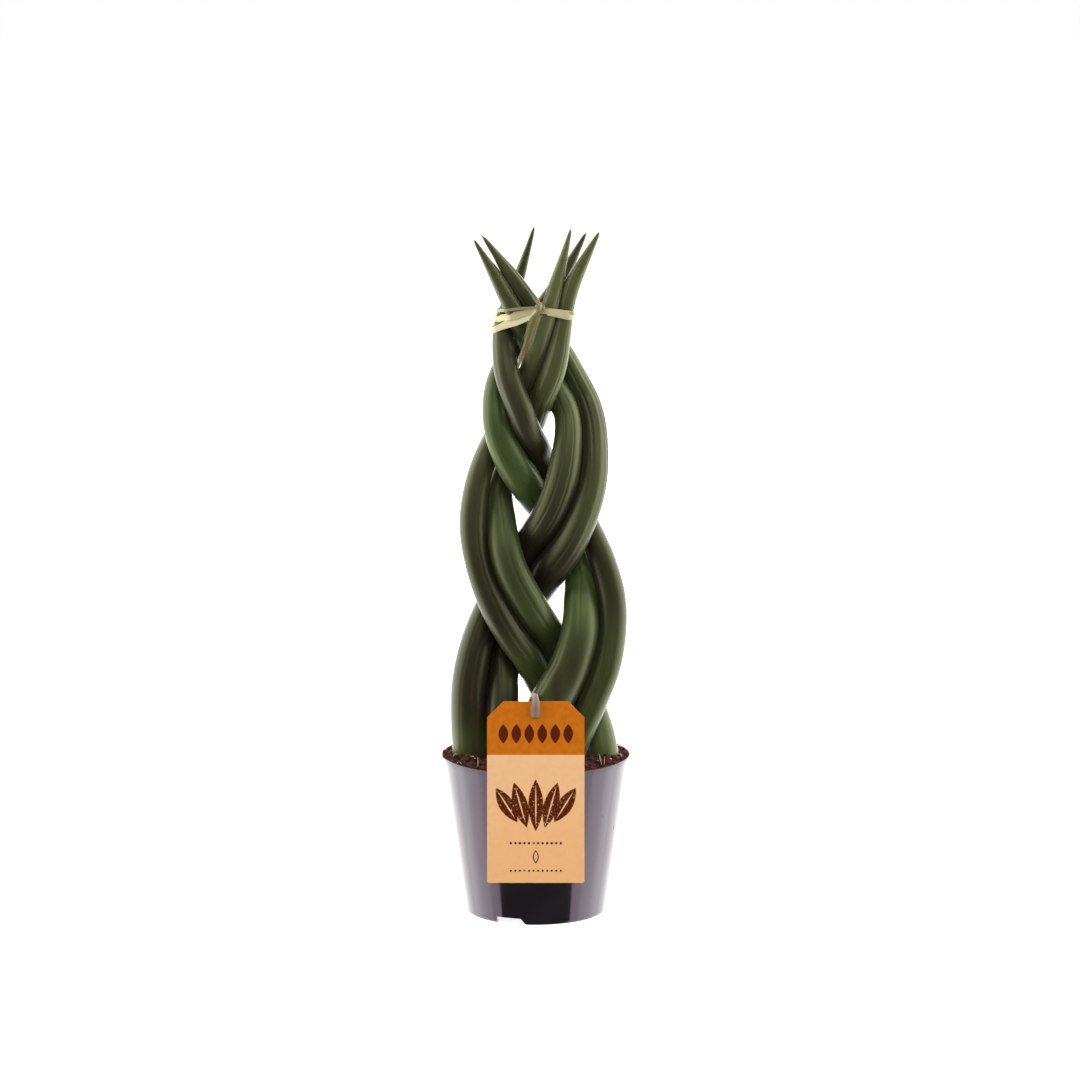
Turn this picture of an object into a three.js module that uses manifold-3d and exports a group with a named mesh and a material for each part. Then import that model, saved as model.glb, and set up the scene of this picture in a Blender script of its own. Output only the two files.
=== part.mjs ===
// Cylindrical snake plant: six round leaves plaited as three pairs, standing in a
// nursery pot, tied with raffia near the tips and carrying a card tag on a raffia strip.
// Millimetres, +Z up. The origin is the centre of the pot's foot ring, on the surface
// that the pot stands on. The front of the plait, with the tag, faces -Y.

import * as THREE from 'three';
import { mergeVertices } from 'three/addons/utils/BufferGeometryUtils.js';
import Module from 'manifold-3d';

// ---------------------------------------------------------------- driving dimensions

const GAP = 0.3; // air left between two pieces that touch

const POT = {
  height: 100,
  rimRadius: 60,
  footRadius: 45.5,
  wall: 1.3,
  lip: 1.2, // how far the rounded top edge reaches down
  footCorner: 2,
  footRing: 2.4, // breadth of the ring that the pot stands on
  floorUnder: 5, // underside of the floor, above the standing surface
  floorTop: 6.4,
  segments: 48,
};

const DRAIN_HOLES = { count: 8, radius: 3.5, ring: 32, sides: 12 };

// Air notches in the foot ring, each with one upright and one slanted side.
const NOTCHES = {
  angles: [-112, 8, 128],
  halfWidth: 8,
  slant: 4,
  height: 4,
  below: 1, // how far the cutter reaches under the ring
  cut: 12,
};

// The soil is level with the rim, a little higher in the middle, and lumpy.
const SOIL = {
  edge: 99.6,
  dome: 2,
  lump: 1.3,
  coarse: { x: 5.3, y: 4.6, turnX: 0.6, turnY: -0.4 }, // mm for each radian of the waves
  fine: { x: 3.1, y: 3.9, turn: 1.1, share: 0.5 },
  shoulder: 1, // breadth of the slope at the pot's wall
  rings: 7,
  holeRings: 7,
};

const LEAF = {
  depth: 0.86, // thickness over width
  ridge: 0.02, // height of the lengthwise ridges, over the radius
  ridges: 8,
  rings: 42,
  tipStart: 3, // length of the closing point
};

// The leaves stand in three pairs. Each route runs from the buried base to the tip, and
// gives the leaf's middle and its width there: x, y, z, width.
const LEAVES = [
  {
    name: 'leaf_left_outer',
    route: [
      [-34, -3, 54, 21], [-38, -4, 98, 21.5], [-40.4, -3, 130, 21.8], [-37.6, -1, 160, 21.2],
      [-29, 6, 190, 19.5], [-12, 9, 220, 19], [6.1, -2, 250, 20.6], [17.2, -9, 280, 19.8],
      [18.8, -4, 310, 16.4], [12.4, 1, 325, 15.8], [3.4, 6, 340, 15], [-11.6, 4, 370, 12.4],
      [-24.2, -5, 400, 8.2], [-38, -8, 425, 1.5],
    ],
  },
  {
    name: 'leaf_left_inner',
    route: [
      [-16, -9, 54, 20], [-19.6, -9, 98, 20.4], [-20.2, -6, 130, 20.4], [-16.8, 1, 160, 19.6],
      [-5.8, 9, 190, 20], [12.2, 5, 220, 21.6], [27.1, -9, 250, 18.6], [35.2, -7, 280, 17.6],
      [33.8, 2, 310, 16.8], [28.4, 7, 325, 15.8], [23, 9, 340, 14.2], [5.6, 7, 370, 12.2],
      [-13.3, -3, 400, 9.2], [-32.6, -6, 427, 1.8],
    ],
  },
  {
    name: 'leaf_back_inner',
    route: [
      [-2, -13, 54, 26], [-2, -14, 98, 27], [7.8, -11, 130, 27.2], [22.3, -9, 160, 25],
      [27.6, -4, 190, 22.2], [22, 5, 220, 20], [7, 9, 250, 20], [-11.3, -1, 280, 21],
      [-23.2, -7, 310, 17.2], [-20.9, 7, 340, 14.4], [-3.6, 14, 370, 11.4], [16.2, 13, 400, 9.2],
      [31.2, 12, 428, 1.5],
    ],
  },
  {
    name: 'leaf_back_outer',
    route: [
      [19, -12, 54, 18], [17, -15, 98, 18], [32.4, -10, 130, 17.8], [44.3, -9, 160, 17.6],
      [47.4, -2, 190, 17.4], [41.6, 2, 220, 16.6], [28.4, 7, 250, 15.2], [6.4, 8, 280, 15.8],
      [-6.5, -9, 310, 16.6], [-16.6, -8, 340, 16.2], [-17.2, 1, 370, 11.6], [-9.8, 6, 400, 7.4],
      [-1, 6, 432, 1.5],
    ],
  },
  {
    name: 'leaf_right_inner',
    route: [
      [19, 17, 54, 19], [22, 14, 98, 19], [10, 10, 130, 19], [-7, 4, 160, 18.6],
      [-22.6, -9, 190, 17.6], [-34.6, -9, 220, 15.6], [-38, -3, 250, 16.6], [-34, 1, 280, 15.2],
      [-21, 9, 310, 14], [-5, 0, 340, 13.2], [5.4, -9, 370, 11.7], [13.5, -9, 400, 8.4],
      [21.7, -10, 432, 1.5],
    ],
  },
  {
    name: 'leaf_right_outer',
    route: [
      [37, 0, 54, 21], [42, -4, 98, 21], [33, 7, 130, 20.5], [16, 9, 160, 21.3],
      [-1.4, -4, 190, 21.6], [-16, -9, 220, 20.8], [-20.6, -2, 250, 18.7], [-15.3, 6, 280, 17.2],
      [0.6, 9, 310, 15.4], [10.8, -3, 340, 15.2], [15.9, -9, 370, 10.9], [18.9, -9, 385, 9.1],
      [23.4, -9, 400, 9.4], [31, -9.5, 415, 6.4], [39, -10, 430, 1.6],
    ],
  },
];

// How the routes are eased apart until no two leaves touch, mostly forward and back.
const EASING = { station: 4, clearance: 0.9, rounds: 300, share: 0.45, smooth: 0.1, aside: 0.3 };

// The raffia tie: a broad and a narrow wrap round the waist of the bundle, a knot in
// front, a short stub and a long tapered tail. Heights are given at the knot, and at the
// left and right edges of the bundle.
const TIE = {
  knot: { x: 2.5, z: 384, radius: 2.8, stretch: [1.25, 1, 1.1], sides: 14, rows: 9 },
  broad: { left: 371, right: 379.5, width: 5.2, thickness: 1 },
  narrow: { left: 379.5, right: 380.5, width: 2.4, thickness: 0.8 },
  loose: 0.8, // between the wraps and the leaves
  reach: 30, // leaf stations this far above or below a wrap can touch it
  spots: 24, // directions tried round each station
  segments: 46,
  stub: { lean: -1.2, length: 2.5, width: 2.2 },
  tail: {
    stations: [[2.5, 383], [-0.5, 377], [-3.3, 369], [-5.4, 362.5], [-8.2, 356], [-11.4, 346]],
    widths: [2.4, 5.6, 5.8, 4.8, 2.4, 0.8],
    thickness: 0.9,
    start: 1, // in front of the knot's middle
    margin: 2, // how far beside the tail the leaves are felt for
    steps: 12,
  },
};

// The card tag leans back against the pot's rim.
const TAG = {
  width: 60,
  height: 112,
  thickness: 0.9,
  chamfer: 10,
  corner: 1.5,
  overRim: 44.5, // height of its top edge above the rim
  lean: THREE.MathUtils.degToRad(8),
  hole: { radius: 2.7, below: 7 },
};

// The raffia strip that holds the tag: out of a knot wedged in the plait, over the top
// edge of the card, down its front, back through the hole and home to the knot.
const STRIP = {
  knot: { x: -1.2, z: 141, radius: 2.4, sides: 10, rows: 7 },
  thickness: 1,
  sag: 0.6,
  behind: 8, // how far behind the card its two runs begin to spread
  bulge: 0.8, // how far the loop stands off the card's front
  widths: [1.8, 2.6, 3, 4.2, 5.6, 6.2, 5.4, 3.2, 2.8, 2.8, 2.4, 1.8],
  steps: 34,
  sides: 8,
};

// ---------------------------------------------------------------- solids from points

const wasm = await Module();
wasm.setup();

const Y_AXIS = new THREE.Vector3(0, 1, 0);

function bare(geometry) {
  geometry.deleteAttribute('normal');
  geometry.deleteAttribute('uv');
  return mergeVertices(geometry, 1e-4);
}

// Skins a row of rings that run anticlockwise round the direction of travel. Each end
// closes on its pole; without poles the last ring joins the first.
function skin(rings, poles) {
  const sides = rings[0].length;
  const points = rings.flat();
  const indices = [];
  const spans = poles ? rings.length - 1 : rings.length;
  for (let i = 0; i < spans; i += 1) {
    const here = i * sides;
    const next = ((i + 1) % rings.length) * sides;
    for (let j = 0; j < sides; j += 1) {
      const k = (j + 1) % sides;
      indices.push(here + j, here + k, next + k, here + j, next + k, next + j);
    }
  }
  if (poles) {
    const first = points.length;
    const lastRing = (rings.length - 1) * sides;
    points.push(poles[0], poles[1]);
    for (let j = 0; j < sides; j += 1) {
      const k = (j + 1) % sides;
      indices.push(first, k, j, first + 1, lastRing + j, lastRing + k);
    }
  }
  const geometry = new THREE.BufferGeometry();
  geometry.setAttribute(
    'position',
    new THREE.Float32BufferAttribute(points.flatMap((p) => [p.x, p.y, p.z]), 3),
  );
  geometry.setIndex(indices);
  return geometry;
}

function middleOf(ring) {
  const sum = ring.reduce((total, p) => total.add(p), new THREE.Vector3());
  return sum.divideScalar(ring.length);
}

// A run of rings closed flat at both ends.
function capped(rings) {
  return skin(rings, [middleOf(rings[0]), middleOf(rings.at(-1))]);
}

function toSolid(geometry) {
  return new wasm.Manifold(new wasm.Mesh({
    numProp: 3,
    vertProperties: new Float32Array(geometry.getAttribute('position').array),
    triVerts: new Uint32Array(geometry.getIndex().array),
  }));
}

function toGeometry(solid) {
  const { vertProperties, triVerts } = solid.getMesh();
  const geometry = new THREE.BufferGeometry();
  geometry.setAttribute('position', new THREE.Float32BufferAttribute(vertProperties, 3));
  geometry.setIndex(Array.from(triVerts));
  return geometry;
}

function unite(geometries) {
  return geometries.map(toSolid).reduce((sum, solid) => sum.add(solid));
}

// Across and out directions for a section whose path runs along `along`.
function sectionAxes(along) {
  const across = new THREE.Vector3().crossVectors(Y_AXIS, along).normalize();
  const out = new THREE.Vector3().crossVectors(along, across).normalize();
  return { across, out };
}

// ---------------------------------------------------------------- leaves

// Stations at even steps along a leaf, from base to tip.
function startLeaf({ name, route }) {
  const curve = new THREE.CatmullRomCurve3(
    route.map(([x, y, z]) => new THREE.Vector3(x, y, z)), false, 'centripetal',
  );
  const widths = new THREE.CatmullRomCurve3(
    route.map(([, , , width], i) => new THREE.Vector3(i, width, 0)),
  );
  const count = Math.round(curve.getLength() / EASING.station);
  const start = curve.getSpacedPoints(count);
  const points = start.map((p) => p.clone());
  const halfWidthAt = (share) => widths.getPoint(curve.getUtoTmapping(share)).y / 2;
  const halfWidths = points.map((p, i) => halfWidthAt(i / count));
  return { name, start, points, halfWidths, halfWidthAt };
}

function alongAt(points, i) {
  const before = points[Math.max(0, i - 1)];
  const after = points[Math.min(points.length - 1, i + 1)];
  return new THREE.Vector3().subVectors(after, before).normalize();
}

// A leaf's section is filled by two balls side by side across it.
function ballsOf(leaf) {
  return leaf.points.flatMap((point, i) => {
    const { across } = sectionAxes(alongAt(leaf.points, i));
    const radius = leaf.halfWidths[i] * LEAF.depth;
    const offset = leaf.halfWidths[i] - radius;
    return [-offset, offset].map((shift) => ({
      station: i,
      radius,
      centre: point.clone().addScaledVector(across, shift),
    }));
  });
}

// Moves every station that is too close to another leaf, half the shortfall each and
// little of it sideways, so that the plait keeps its front view. The shifts are smoothed
// along each leaf, which keeps it an even curve.
function easeApart(leaves) {
  const reach = Math.max(...leaves.flatMap((leaf) => leaf.halfWidths)) * 2 + EASING.clearance;
  for (let round = 0; round < EASING.rounds; round += 1) {
    const balls = leaves.map(ballsOf);
    const pushes = leaves.map((leaf) => leaf.points.map(() => new THREE.Vector3()));
    const counts = leaves.map((leaf) => leaf.points.map(() => 0));
    for (let a = 0; a < leaves.length; a += 1) {
      for (let b = a + 1; b < leaves.length; b += 1) {
        for (const one of balls[a]) {
          for (const two of balls[b]) {
            if (Math.abs(one.centre.z - two.centre.z) > reach) continue;
            const apart = new THREE.Vector3().subVectors(two.centre, one.centre);
            const short = one.radius + two.radius + EASING.clearance - apart.length();
            if (short <= 0) continue;
            apart.setLength(short * EASING.share);
            apart.x *= EASING.aside;
            apart.z *= EASING.aside;
            pushes[a][one.station].sub(apart);
            pushes[b][two.station].add(apart);
            counts[a][one.station] += 1;
            counts[b][two.station] += 1;
          }
        }
      }
    }
    leaves.forEach((leaf, l) => {
      const shifts = leaf.points.map((point, i) => {
        const shift = new THREE.Vector3().subVectors(point, leaf.start[i]);
        return shift.addScaledVector(pushes[l][i], 1 / Math.max(1, counts[l][i]));
      });
      leaf.points.forEach((point, i) => {
        const before = shifts[Math.max(0, i - 1)];
        const after = shifts[Math.min(shifts.length - 1, i + 1)];
        const even = new THREE.Vector3().addVectors(before, after).multiplyScalar(0.5);
        point.copy(leaf.start[i]).add(shifts[i].clone().lerp(even, EASING.smooth));
      });
    });
  }
}

// The ring of a leaf's skin at one station, `grow` wider all round.
function leafRing(centre, along, halfWidth, grow) {
  const { across, out } = sectionAxes(along);
  const sides = LEAF.ridges * 2;
  return Array.from({ length: sides }, (unused, j) => {
    const angle = (j / sides) * Math.PI * 2;
    const relief = 1 + (j % 2 === 0 ? LEAF.ridge : -LEAF.ridge) / 2;
    return centre.clone()
      .addScaledVector(across, Math.cos(angle) * (halfWidth * relief + grow))
      .addScaledVector(out, Math.sin(angle) * (halfWidth * LEAF.depth * relief + grow));
  });
}

// The skin of a whole leaf, up to its point.
function leafSkin(leaf) {
  const { rings, curve } = leafRings(leaf, LEAF.rings, 0);
  return skin(rings, [curve.getPointAt(0), curve.getPointAt(1)]);
}

// The hole that a leaf's base stands in: the same rings, a gap wider and deeper.
function holeSkin(leaf) {
  const { rings, curve } = leafRings(leaf, SOIL.holeRings, GAP);
  const deeper = curve.getTangentAt(0).multiplyScalar(-GAP);
  rings[0].forEach((p) => p.add(deeper));
  return capped(rings);
}

function leafRings(leaf, last, grow) {
  const curve = new THREE.CatmullRomCurve3(leaf.points, false, 'centripetal');
  const length = curve.getLength();
  const step = (1 - LEAF.tipStart / length) / LEAF.rings;
  const rings = Array.from({ length: last + 1 }, (unused, i) => {
    const share = i * step;
    const halfWidth = leaf.halfWidthAt(share);
    return leafRing(curve.getPointAt(share), curve.getTangentAt(share), halfWidth, grow);
  });
  return { rings, curve };
}

// ---------------------------------------------------------------- what lies on leaves

// The height of the foremost leaf surface behind a spot, seen from the front.
function frontOfLeaves(balls, x, z) {
  return Math.min(...balls.map(({ centre, radius }) => {
    const aside = Math.hypot(centre.x - x, centre.z - z);
    return aside < radius ? centre.y - Math.sqrt(radius ** 2 - aside ** 2) : Infinity;
  }));
}

// Where a ball comes to rest when it is pushed back against the leaves.
function restOnLeaves(balls, x, z, radius) {
  return Math.min(...balls.map((ball) => {
    const aside = Math.hypot(ball.centre.x - x, ball.centre.z - z);
    const touch = ball.radius + radius + GAP;
    return aside < touch ? ball.centre.y - Math.sqrt(touch ** 2 - aside ** 2) : Infinity;
  }));
}

// The convex outline, anticlockwise from above, of points in the XY plane.
function hullOf(points) {
  const sorted = [...points].sort((a, b) => a.x - b.x || a.y - b.y);
  const turn = (o, a, b) => (a.x - o.x) * (b.y - o.y) - (a.y - o.y) * (b.x - o.x);
  const half = (list) => {
    const chain = [];
    for (const p of list) {
      while (chain.length > 1 && turn(chain.at(-2), chain.at(-1), p) <= 0) chain.pop();
      chain.push(p);
    }
    return chain.slice(0, -1);
  };
  return [...half(sorted), ...half(sorted.reverse())];
}

// The height of a wrap where it crosses a given x: up to the knot in front, straight
// from side to side behind.
function wrapHeight(wrap, x, inFront, edges) {
  const { knot } = TIE;
  const ease = (from, to, share) => from + (to - from) * THREE.MathUtils.clamp(share, 0, 1);
  if (!inFront) return ease(wrap.left, wrap.right, (x - edges.min) / (edges.max - edges.min));
  if (x < knot.x) return ease(wrap.left, knot.z, (x - edges.min) / (knot.x - edges.min));
  return ease(knot.z, wrap.right, (x - knot.x) / (edges.max - knot.x));
}

// A closed band of raffia round the bundle.
function wrapSkin(wrap, balls) {
  const level = (wrap.left + wrap.right) / 2;
  const near = balls.filter(({ centre }) => Math.abs(centre.z - level) < TIE.reach);
  const edges = {
    min: Math.min(...near.map(({ centre }) => centre.x)),
    max: Math.max(...near.map(({ centre }) => centre.x)),
  };
  const spots = near.flatMap(({ centre, radius }) => {
    const out = radius + TIE.loose + wrap.thickness / 2;
    return Array.from({ length: TIE.spots }, (unused, j) => {
      const angle = (j / TIE.spots) * Math.PI * 2;
      const spot = new THREE.Vector2(
        centre.x + out * Math.cos(angle),
        centre.y + out * Math.sin(angle),
      );
      const off = Math.abs(centre.z - wrapHeight(wrap, spot.x, spot.y < 0, edges));
      return off < (wrap.width + EASING.station) / 2 ? spot : null;
    }).filter(Boolean);
  });
  const outline = hullOf(spots).map((p) => new THREE.Vector3(p.x, p.y, 0));
  const path = new THREE.CatmullRomCurve3(outline, true, 'centripetal');
  const rings = Array.from({ length: TIE.segments }, (unused, i) => {
    const at = i / TIE.segments;
    const centre = path.getPointAt(at);
    const along = path.getTangentAt(at);
    const out = new THREE.Vector3(along.y, -along.x, 0);
    centre.z = wrapHeight(wrap, centre.x, centre.y < 0, edges);
    return bandRing(centre, out, new THREE.Vector3(0, 0, -1), wrap.width, wrap.thickness);
  });
  return skin(rings);
}

// A flat strip's section: `side` is across its width, `out` through its thickness.
function bandRing(centre, out, side, width, thickness) {
  const corners = [[1, -1], [1, 1], [-1, 1], [-1, -1]];
  return corners.map(([o, s]) => centre.clone()
    .addScaledVector(out, (o * thickness) / 2)
    .addScaledVector(side, (s * width) / 2));
}

// ---------------------------------------------------------------- the pieces

function potGeometry() {
  const { height, rimRadius, footRadius, footRing, footCorner } = POT;
  const { wall, lip, floorUnder, floorTop } = POT;
  const outerAt = (z) => footRadius + ((rimRadius - footRadius) * z) / height;
  const innerAt = (z) => outerAt(z) - wall;
  const profile = [
    [0, floorUnder],
    [innerAt(floorUnder), floorUnder],
    [footRadius - footRing, footCorner / 2],
    [footRadius - footRing, 0],
    [footRadius - footCorner / 2, 0],
    [outerAt(footCorner), footCorner],
    [outerAt(height - lip), height - lip],
    [rimRadius, height - lip / 2],
    [rimRadius - lip / 3, height],
    [rimRadius - lip, height],
    [innerAt(height - lip), height - lip],
    [innerAt(floorTop + footCorner), floorTop + footCorner],
    [innerAt(floorTop) - footCorner, floorTop],
    [0, floorTop],
  ].map(([r, z]) => new THREE.Vector2(r, z));
  const shell = new THREE.LatheGeometry(profile, POT.segments).rotateX(Math.PI / 2);
  let solid = toSolid(bare(shell));
  for (let i = 0; i < DRAIN_HOLES.count; i += 1) {
    const angle = (i / DRAIN_HOLES.count) * Math.PI * 2;
    const drill = new THREE.CylinderGeometry(
      DRAIN_HOLES.radius, DRAIN_HOLES.radius, POT.floorTop * 2, DRAIN_HOLES.sides,
    ).rotateX(Math.PI / 2);
    drill.translate(
      DRAIN_HOLES.ring * Math.cos(angle), DRAIN_HOLES.ring * Math.sin(angle), POT.floorTop,
    );
    solid = solid.subtract(toSolid(bare(drill)));
  }
  for (const degrees of NOTCHES.angles) {
    solid = solid.subtract(toSolid(notchGeometry(degrees)));
  }
  return toGeometry(solid);
}

// The wedge that cuts one air notch out of the foot ring.
function notchGeometry(degrees) {
  const { halfWidth, slant, height, below, cut } = NOTCHES;
  const outline = new THREE.Shape([
    new THREE.Vector2(-halfWidth, -below),
    new THREE.Vector2(halfWidth + slant, -below),
    new THREE.Vector2(halfWidth, height),
    new THREE.Vector2(-halfWidth, height),
  ]);
  const wedge = new THREE.ExtrudeGeometry(outline, { depth: cut, bevelEnabled: false });
  wedge.rotateX(Math.PI / 2);
  wedge.translate(0, cut / 2 - POT.footRadius, 0);
  wedge.rotateZ(THREE.MathUtils.degToRad(degrees + 90));
  return bare(wedge);
}

// Lumps that die away towards the rim.
function soilHeight(x, y) {
  const { edge, dome, lump, coarse, fine } = SOIL;
  const radius = Math.hypot(x, y) / POT.rimRadius;
  const across = Math.sin(x / coarse.x + coarse.turnX);
  const large = across * Math.cos(y / coarse.y + coarse.turnY);
  const small = fine.share * Math.sin(x / fine.x - y / fine.y + fine.turn);
  return edge + dome * (1 - radius ** 2) + lump * (large + small) * (1 - radius ** 6);
}

function soilGeometry(leaves) {
  const { footRadius, rimRadius, height, wall, floorTop } = POT;
  const clear = wall + GAP;
  const outerAt = (z) => footRadius + ((rimRadius - footRadius) * z) / height - clear;
  const floor = floorTop + GAP;
  const ring = (radius, z) => Array.from({ length: POT.segments }, (unused, j) => {
    const angle = (j / POT.segments) * Math.PI * 2;
    const x = radius * Math.cos(angle);
    const y = radius * Math.sin(angle);
    return new THREE.Vector3(x, y, z ?? soilHeight(x, y));
  });
  const top = outerAt(SOIL.edge - POT.lip);
  const rings = [
    ring(outerAt(floor) - POT.footCorner, floor),
    ring(outerAt(floor + POT.footCorner), floor + POT.footCorner),
    ring(top, SOIL.edge - POT.lip),
  ];
  for (let i = 0; i < SOIL.rings; i += 1) {
    rings.push(ring(((top - SOIL.shoulder) * (SOIL.rings - i)) / SOIL.rings));
  }
  const poles = [new THREE.Vector3(0, 0, floor), new THREE.Vector3(0, 0, soilHeight(0, 0))];
  let solid = toSolid(skin(rings, poles));
  for (const leaf of leaves) {
    solid = solid.subtract(toSolid(holeSkin(leaf)));
  }
  return toGeometry(solid);
}

function tieGeometry(balls) {
  const { knot, stub, tail, broad, narrow } = TIE;
  const y = restOnLeaves(balls, knot.x, knot.z, knot.radius) - GAP;
  const lump = new THREE.SphereGeometry(knot.radius, knot.sides, knot.rows);
  lump.scale(...knot.stretch).translate(knot.x, y, knot.z);
  const upright = new THREE.Vector3(0, 0, 1);
  const forward = new THREE.Vector3(0, -1, 0);
  const stubRings = [0, 0.5, 1].map((share) => {
    const z = knot.z + share * (knot.radius + stub.length);
    const centre = new THREE.Vector3(knot.x + stub.lean * share, y - share, z);
    const width = stub.width * (1 - share / 2);
    return bandRing(centre, forward, new THREE.Vector3(1, 0, 0), width, tail.thickness);
  });
  const tailPath = new THREE.CatmullRomCurve3(tail.stations.map(([x, z], i) => {
    const half = tail.widths[i] / 2 + tail.margin;
    const fronts = [-half, 0, half].map((side) => frontOfLeaves(balls, x + side, z));
    const lift = GAP * 2 + tail.thickness;
    return new THREE.Vector3(x, i === 0 ? y - tail.start : Math.min(...fronts) - lift, z);
  }));
  const widths = new THREE.CatmullRomCurve3(
    tail.widths.map((width, i) => new THREE.Vector3(i, width, 0)),
  );
  const tailRings = Array.from({ length: tail.steps + 1 }, (unused, i) => {
    const share = i / tail.steps;
    const along = tailPath.getTangent(share);
    const side = new THREE.Vector3().crossVectors(along, forward).normalize();
    const out = new THREE.Vector3().crossVectors(side, along).normalize();
    const width = widths.getPoint(share).y;
    return bandRing(tailPath.getPoint(share), out, side, width, tail.thickness);
  });
  return toGeometry(unite([
    wrapSkin(broad, balls),
    wrapSkin(narrow, balls),
    bare(lump),
    capped(stubRings),
    capped(tailRings),
  ]));
}

function tagGeometry() {
  const { width, height, thickness, chamfer, corner, hole } = TAG;
  const half = width / 2;
  const outline = new THREE.Shape()
    .moveTo(-half + chamfer, 0)
    .lineTo(-half, -chamfer)
    .lineTo(-half, corner - height)
    .quadraticCurveTo(-half, -height, corner - half, -height)
    .lineTo(half - corner, -height)
    .quadraticCurveTo(half, -height, half, corner - height)
    .lineTo(half, -chamfer)
    .lineTo(half - chamfer, 0);
  outline.holes.push(new THREE.Path().absarc(0, -hole.below, hole.radius, 0, Math.PI * 2));
  const extrude = { depth: thickness, bevelEnabled: false, curveSegments: 8 };
  return bare(new THREE.ExtrudeGeometry(outline, extrude));
}

// The top of the card's back face, so placed that the card rests on the rim.
const tagTop = new THREE.Vector3(
  0,
  (TAG.overRim + POT.lip / 2) * Math.tan(TAG.lean) - POT.rimRadius - GAP / Math.cos(TAG.lean),
  POT.height + TAG.overRim,
);

// A spot so far down the card from its top edge, and so far in front of its back face.
function onTag(down, front) {
  return new THREE.Vector3(
    0,
    tagTop.y - down * Math.sin(TAG.lean) - front * Math.cos(TAG.lean),
    tagTop.z - down * Math.cos(TAG.lean) + front * Math.sin(TAG.lean),
  );
}

function stripGeometry(balls) {
  const { knot, thickness, sag, behind, bulge, widths, steps, sides } = STRIP;
  const home = new THREE.Vector3(
    knot.x, restOnLeaves(balls, knot.x, knot.z, knot.radius), knot.z,
  );
  const clear = GAP + thickness;
  const face = TAG.thickness + clear;
  const hole = TAG.hole.below;
  const leave = home.clone();
  leave.y -= knot.radius / 2;
  leave.z += knot.radius / 3;
  const arrive = home.clone();
  arrive.y -= knot.radius / 2;
  arrive.z -= knot.radius / 3;
  const upperRun = leave.clone().lerp(onTag(-clear, -behind), 0.5);
  upperRun.z -= sag;
  const lowerRun = arrive.clone().lerp(onTag(hole, -behind), 0.5);
  lowerRun.z -= sag;
  const path = new THREE.CatmullRomCurve3([
    leave,
    upperRun,
    onTag(-clear, -behind / 2),
    onTag(-clear - GAP, 0),
    onTag(GAP, face),
    onTag(hole / 2, face + bulge),
    onTag(hole - 1, face + bulge / 2),
    onTag(hole, TAG.thickness / 2),
    onTag(hole, -clear - 1),
    lowerRun,
    arrive,
  ], false, 'centripetal');
  const breadth = new THREE.CatmullRomCurve3(
    widths.map((width, i) => new THREE.Vector3(i, width, 0)),
  );
  const side = new THREE.Vector3(1, 0, 0);
  const rings = Array.from({ length: steps + 1 }, (unused, i) => {
    const share = i / steps;
    const out = new THREE.Vector3().crossVectors(side, path.getTangentAt(share)).normalize();
    const width = breadth.getPoint(path.getUtoTmapping(share)).y;
    return Array.from({ length: sides }, (none, j) => {
      const angle = (j / sides) * Math.PI * 2;
      return path.getPointAt(share)
        .addScaledVector(out, (Math.cos(angle) * thickness) / 2)
        .addScaledVector(side, (Math.sin(angle) * width) / 2);
    });
  });
  const lump = new THREE.SphereGeometry(knot.radius, knot.sides, knot.rows);
  lump.translate(home.x, home.y, home.z);
  return toGeometry(unite([capped(rings), bare(lump)]));
}

const leaves = LEAVES.map(startLeaf);
easeApart(leaves);
const balls = leaves.flatMap(ballsOf);

const plant = new THREE.Group();
plant.name = 'snake_plant';

function add(name, geometry, color, roughness, metalness = 0) {
  const material = new THREE.MeshStandardMaterial({ color, roughness, metalness });
  const mesh = new THREE.Mesh(geometry, material);
  mesh.name = name;
  plant.add(mesh);
  return mesh;
}

add('pot', potGeometry(), 0x1d1b1d, 0.25);
add('soil', soilGeometry(leaves), 0x3a211a, 0.95);
for (const leaf of leaves) add(leaf.name, leafSkin(leaf), 0x4c5f36, 0.55);
add('raffia_tie', tieGeometry(balls), 0xe0d2a2, 0.7);
const tag = add('tag', tagGeometry(), 0xe9c08a, 0.8);
tag.position.copy(tagTop);
tag.rotation.x = Math.PI / 2 - TAG.lean;
add('tag_strip', stripGeometry(balls), 0xf0dfba, 0.7);

export default plant;
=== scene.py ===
# %% [markdown]
# # A plaited snake plant in its nursery pot
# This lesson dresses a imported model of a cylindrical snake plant: six round leaves plaited
# in pairs, tied with raffia near the tips, standing in peat in a black plastic pot, with a
# card tag on a strip of raffia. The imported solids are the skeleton. They are right in size
# and place, but plain, so most of them are replaced here by finer pieces that follow them.

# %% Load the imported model
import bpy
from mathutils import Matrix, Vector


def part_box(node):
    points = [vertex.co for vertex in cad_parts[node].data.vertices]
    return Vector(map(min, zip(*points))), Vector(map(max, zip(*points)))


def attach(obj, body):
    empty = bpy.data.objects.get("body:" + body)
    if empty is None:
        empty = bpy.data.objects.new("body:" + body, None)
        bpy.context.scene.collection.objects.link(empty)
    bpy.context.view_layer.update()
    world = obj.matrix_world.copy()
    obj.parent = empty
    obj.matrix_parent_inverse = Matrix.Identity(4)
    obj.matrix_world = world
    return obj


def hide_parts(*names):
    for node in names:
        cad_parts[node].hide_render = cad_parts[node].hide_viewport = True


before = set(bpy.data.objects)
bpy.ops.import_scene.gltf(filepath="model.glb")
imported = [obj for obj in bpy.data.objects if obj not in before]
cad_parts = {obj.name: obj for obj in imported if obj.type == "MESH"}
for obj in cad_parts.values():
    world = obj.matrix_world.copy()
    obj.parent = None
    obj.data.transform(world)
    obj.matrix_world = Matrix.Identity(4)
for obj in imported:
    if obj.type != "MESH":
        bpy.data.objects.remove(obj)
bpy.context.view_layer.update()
print("packed nodes:", ", ".join(sorted(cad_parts)))

# %% The tools of this lesson
import math
import random

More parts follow.
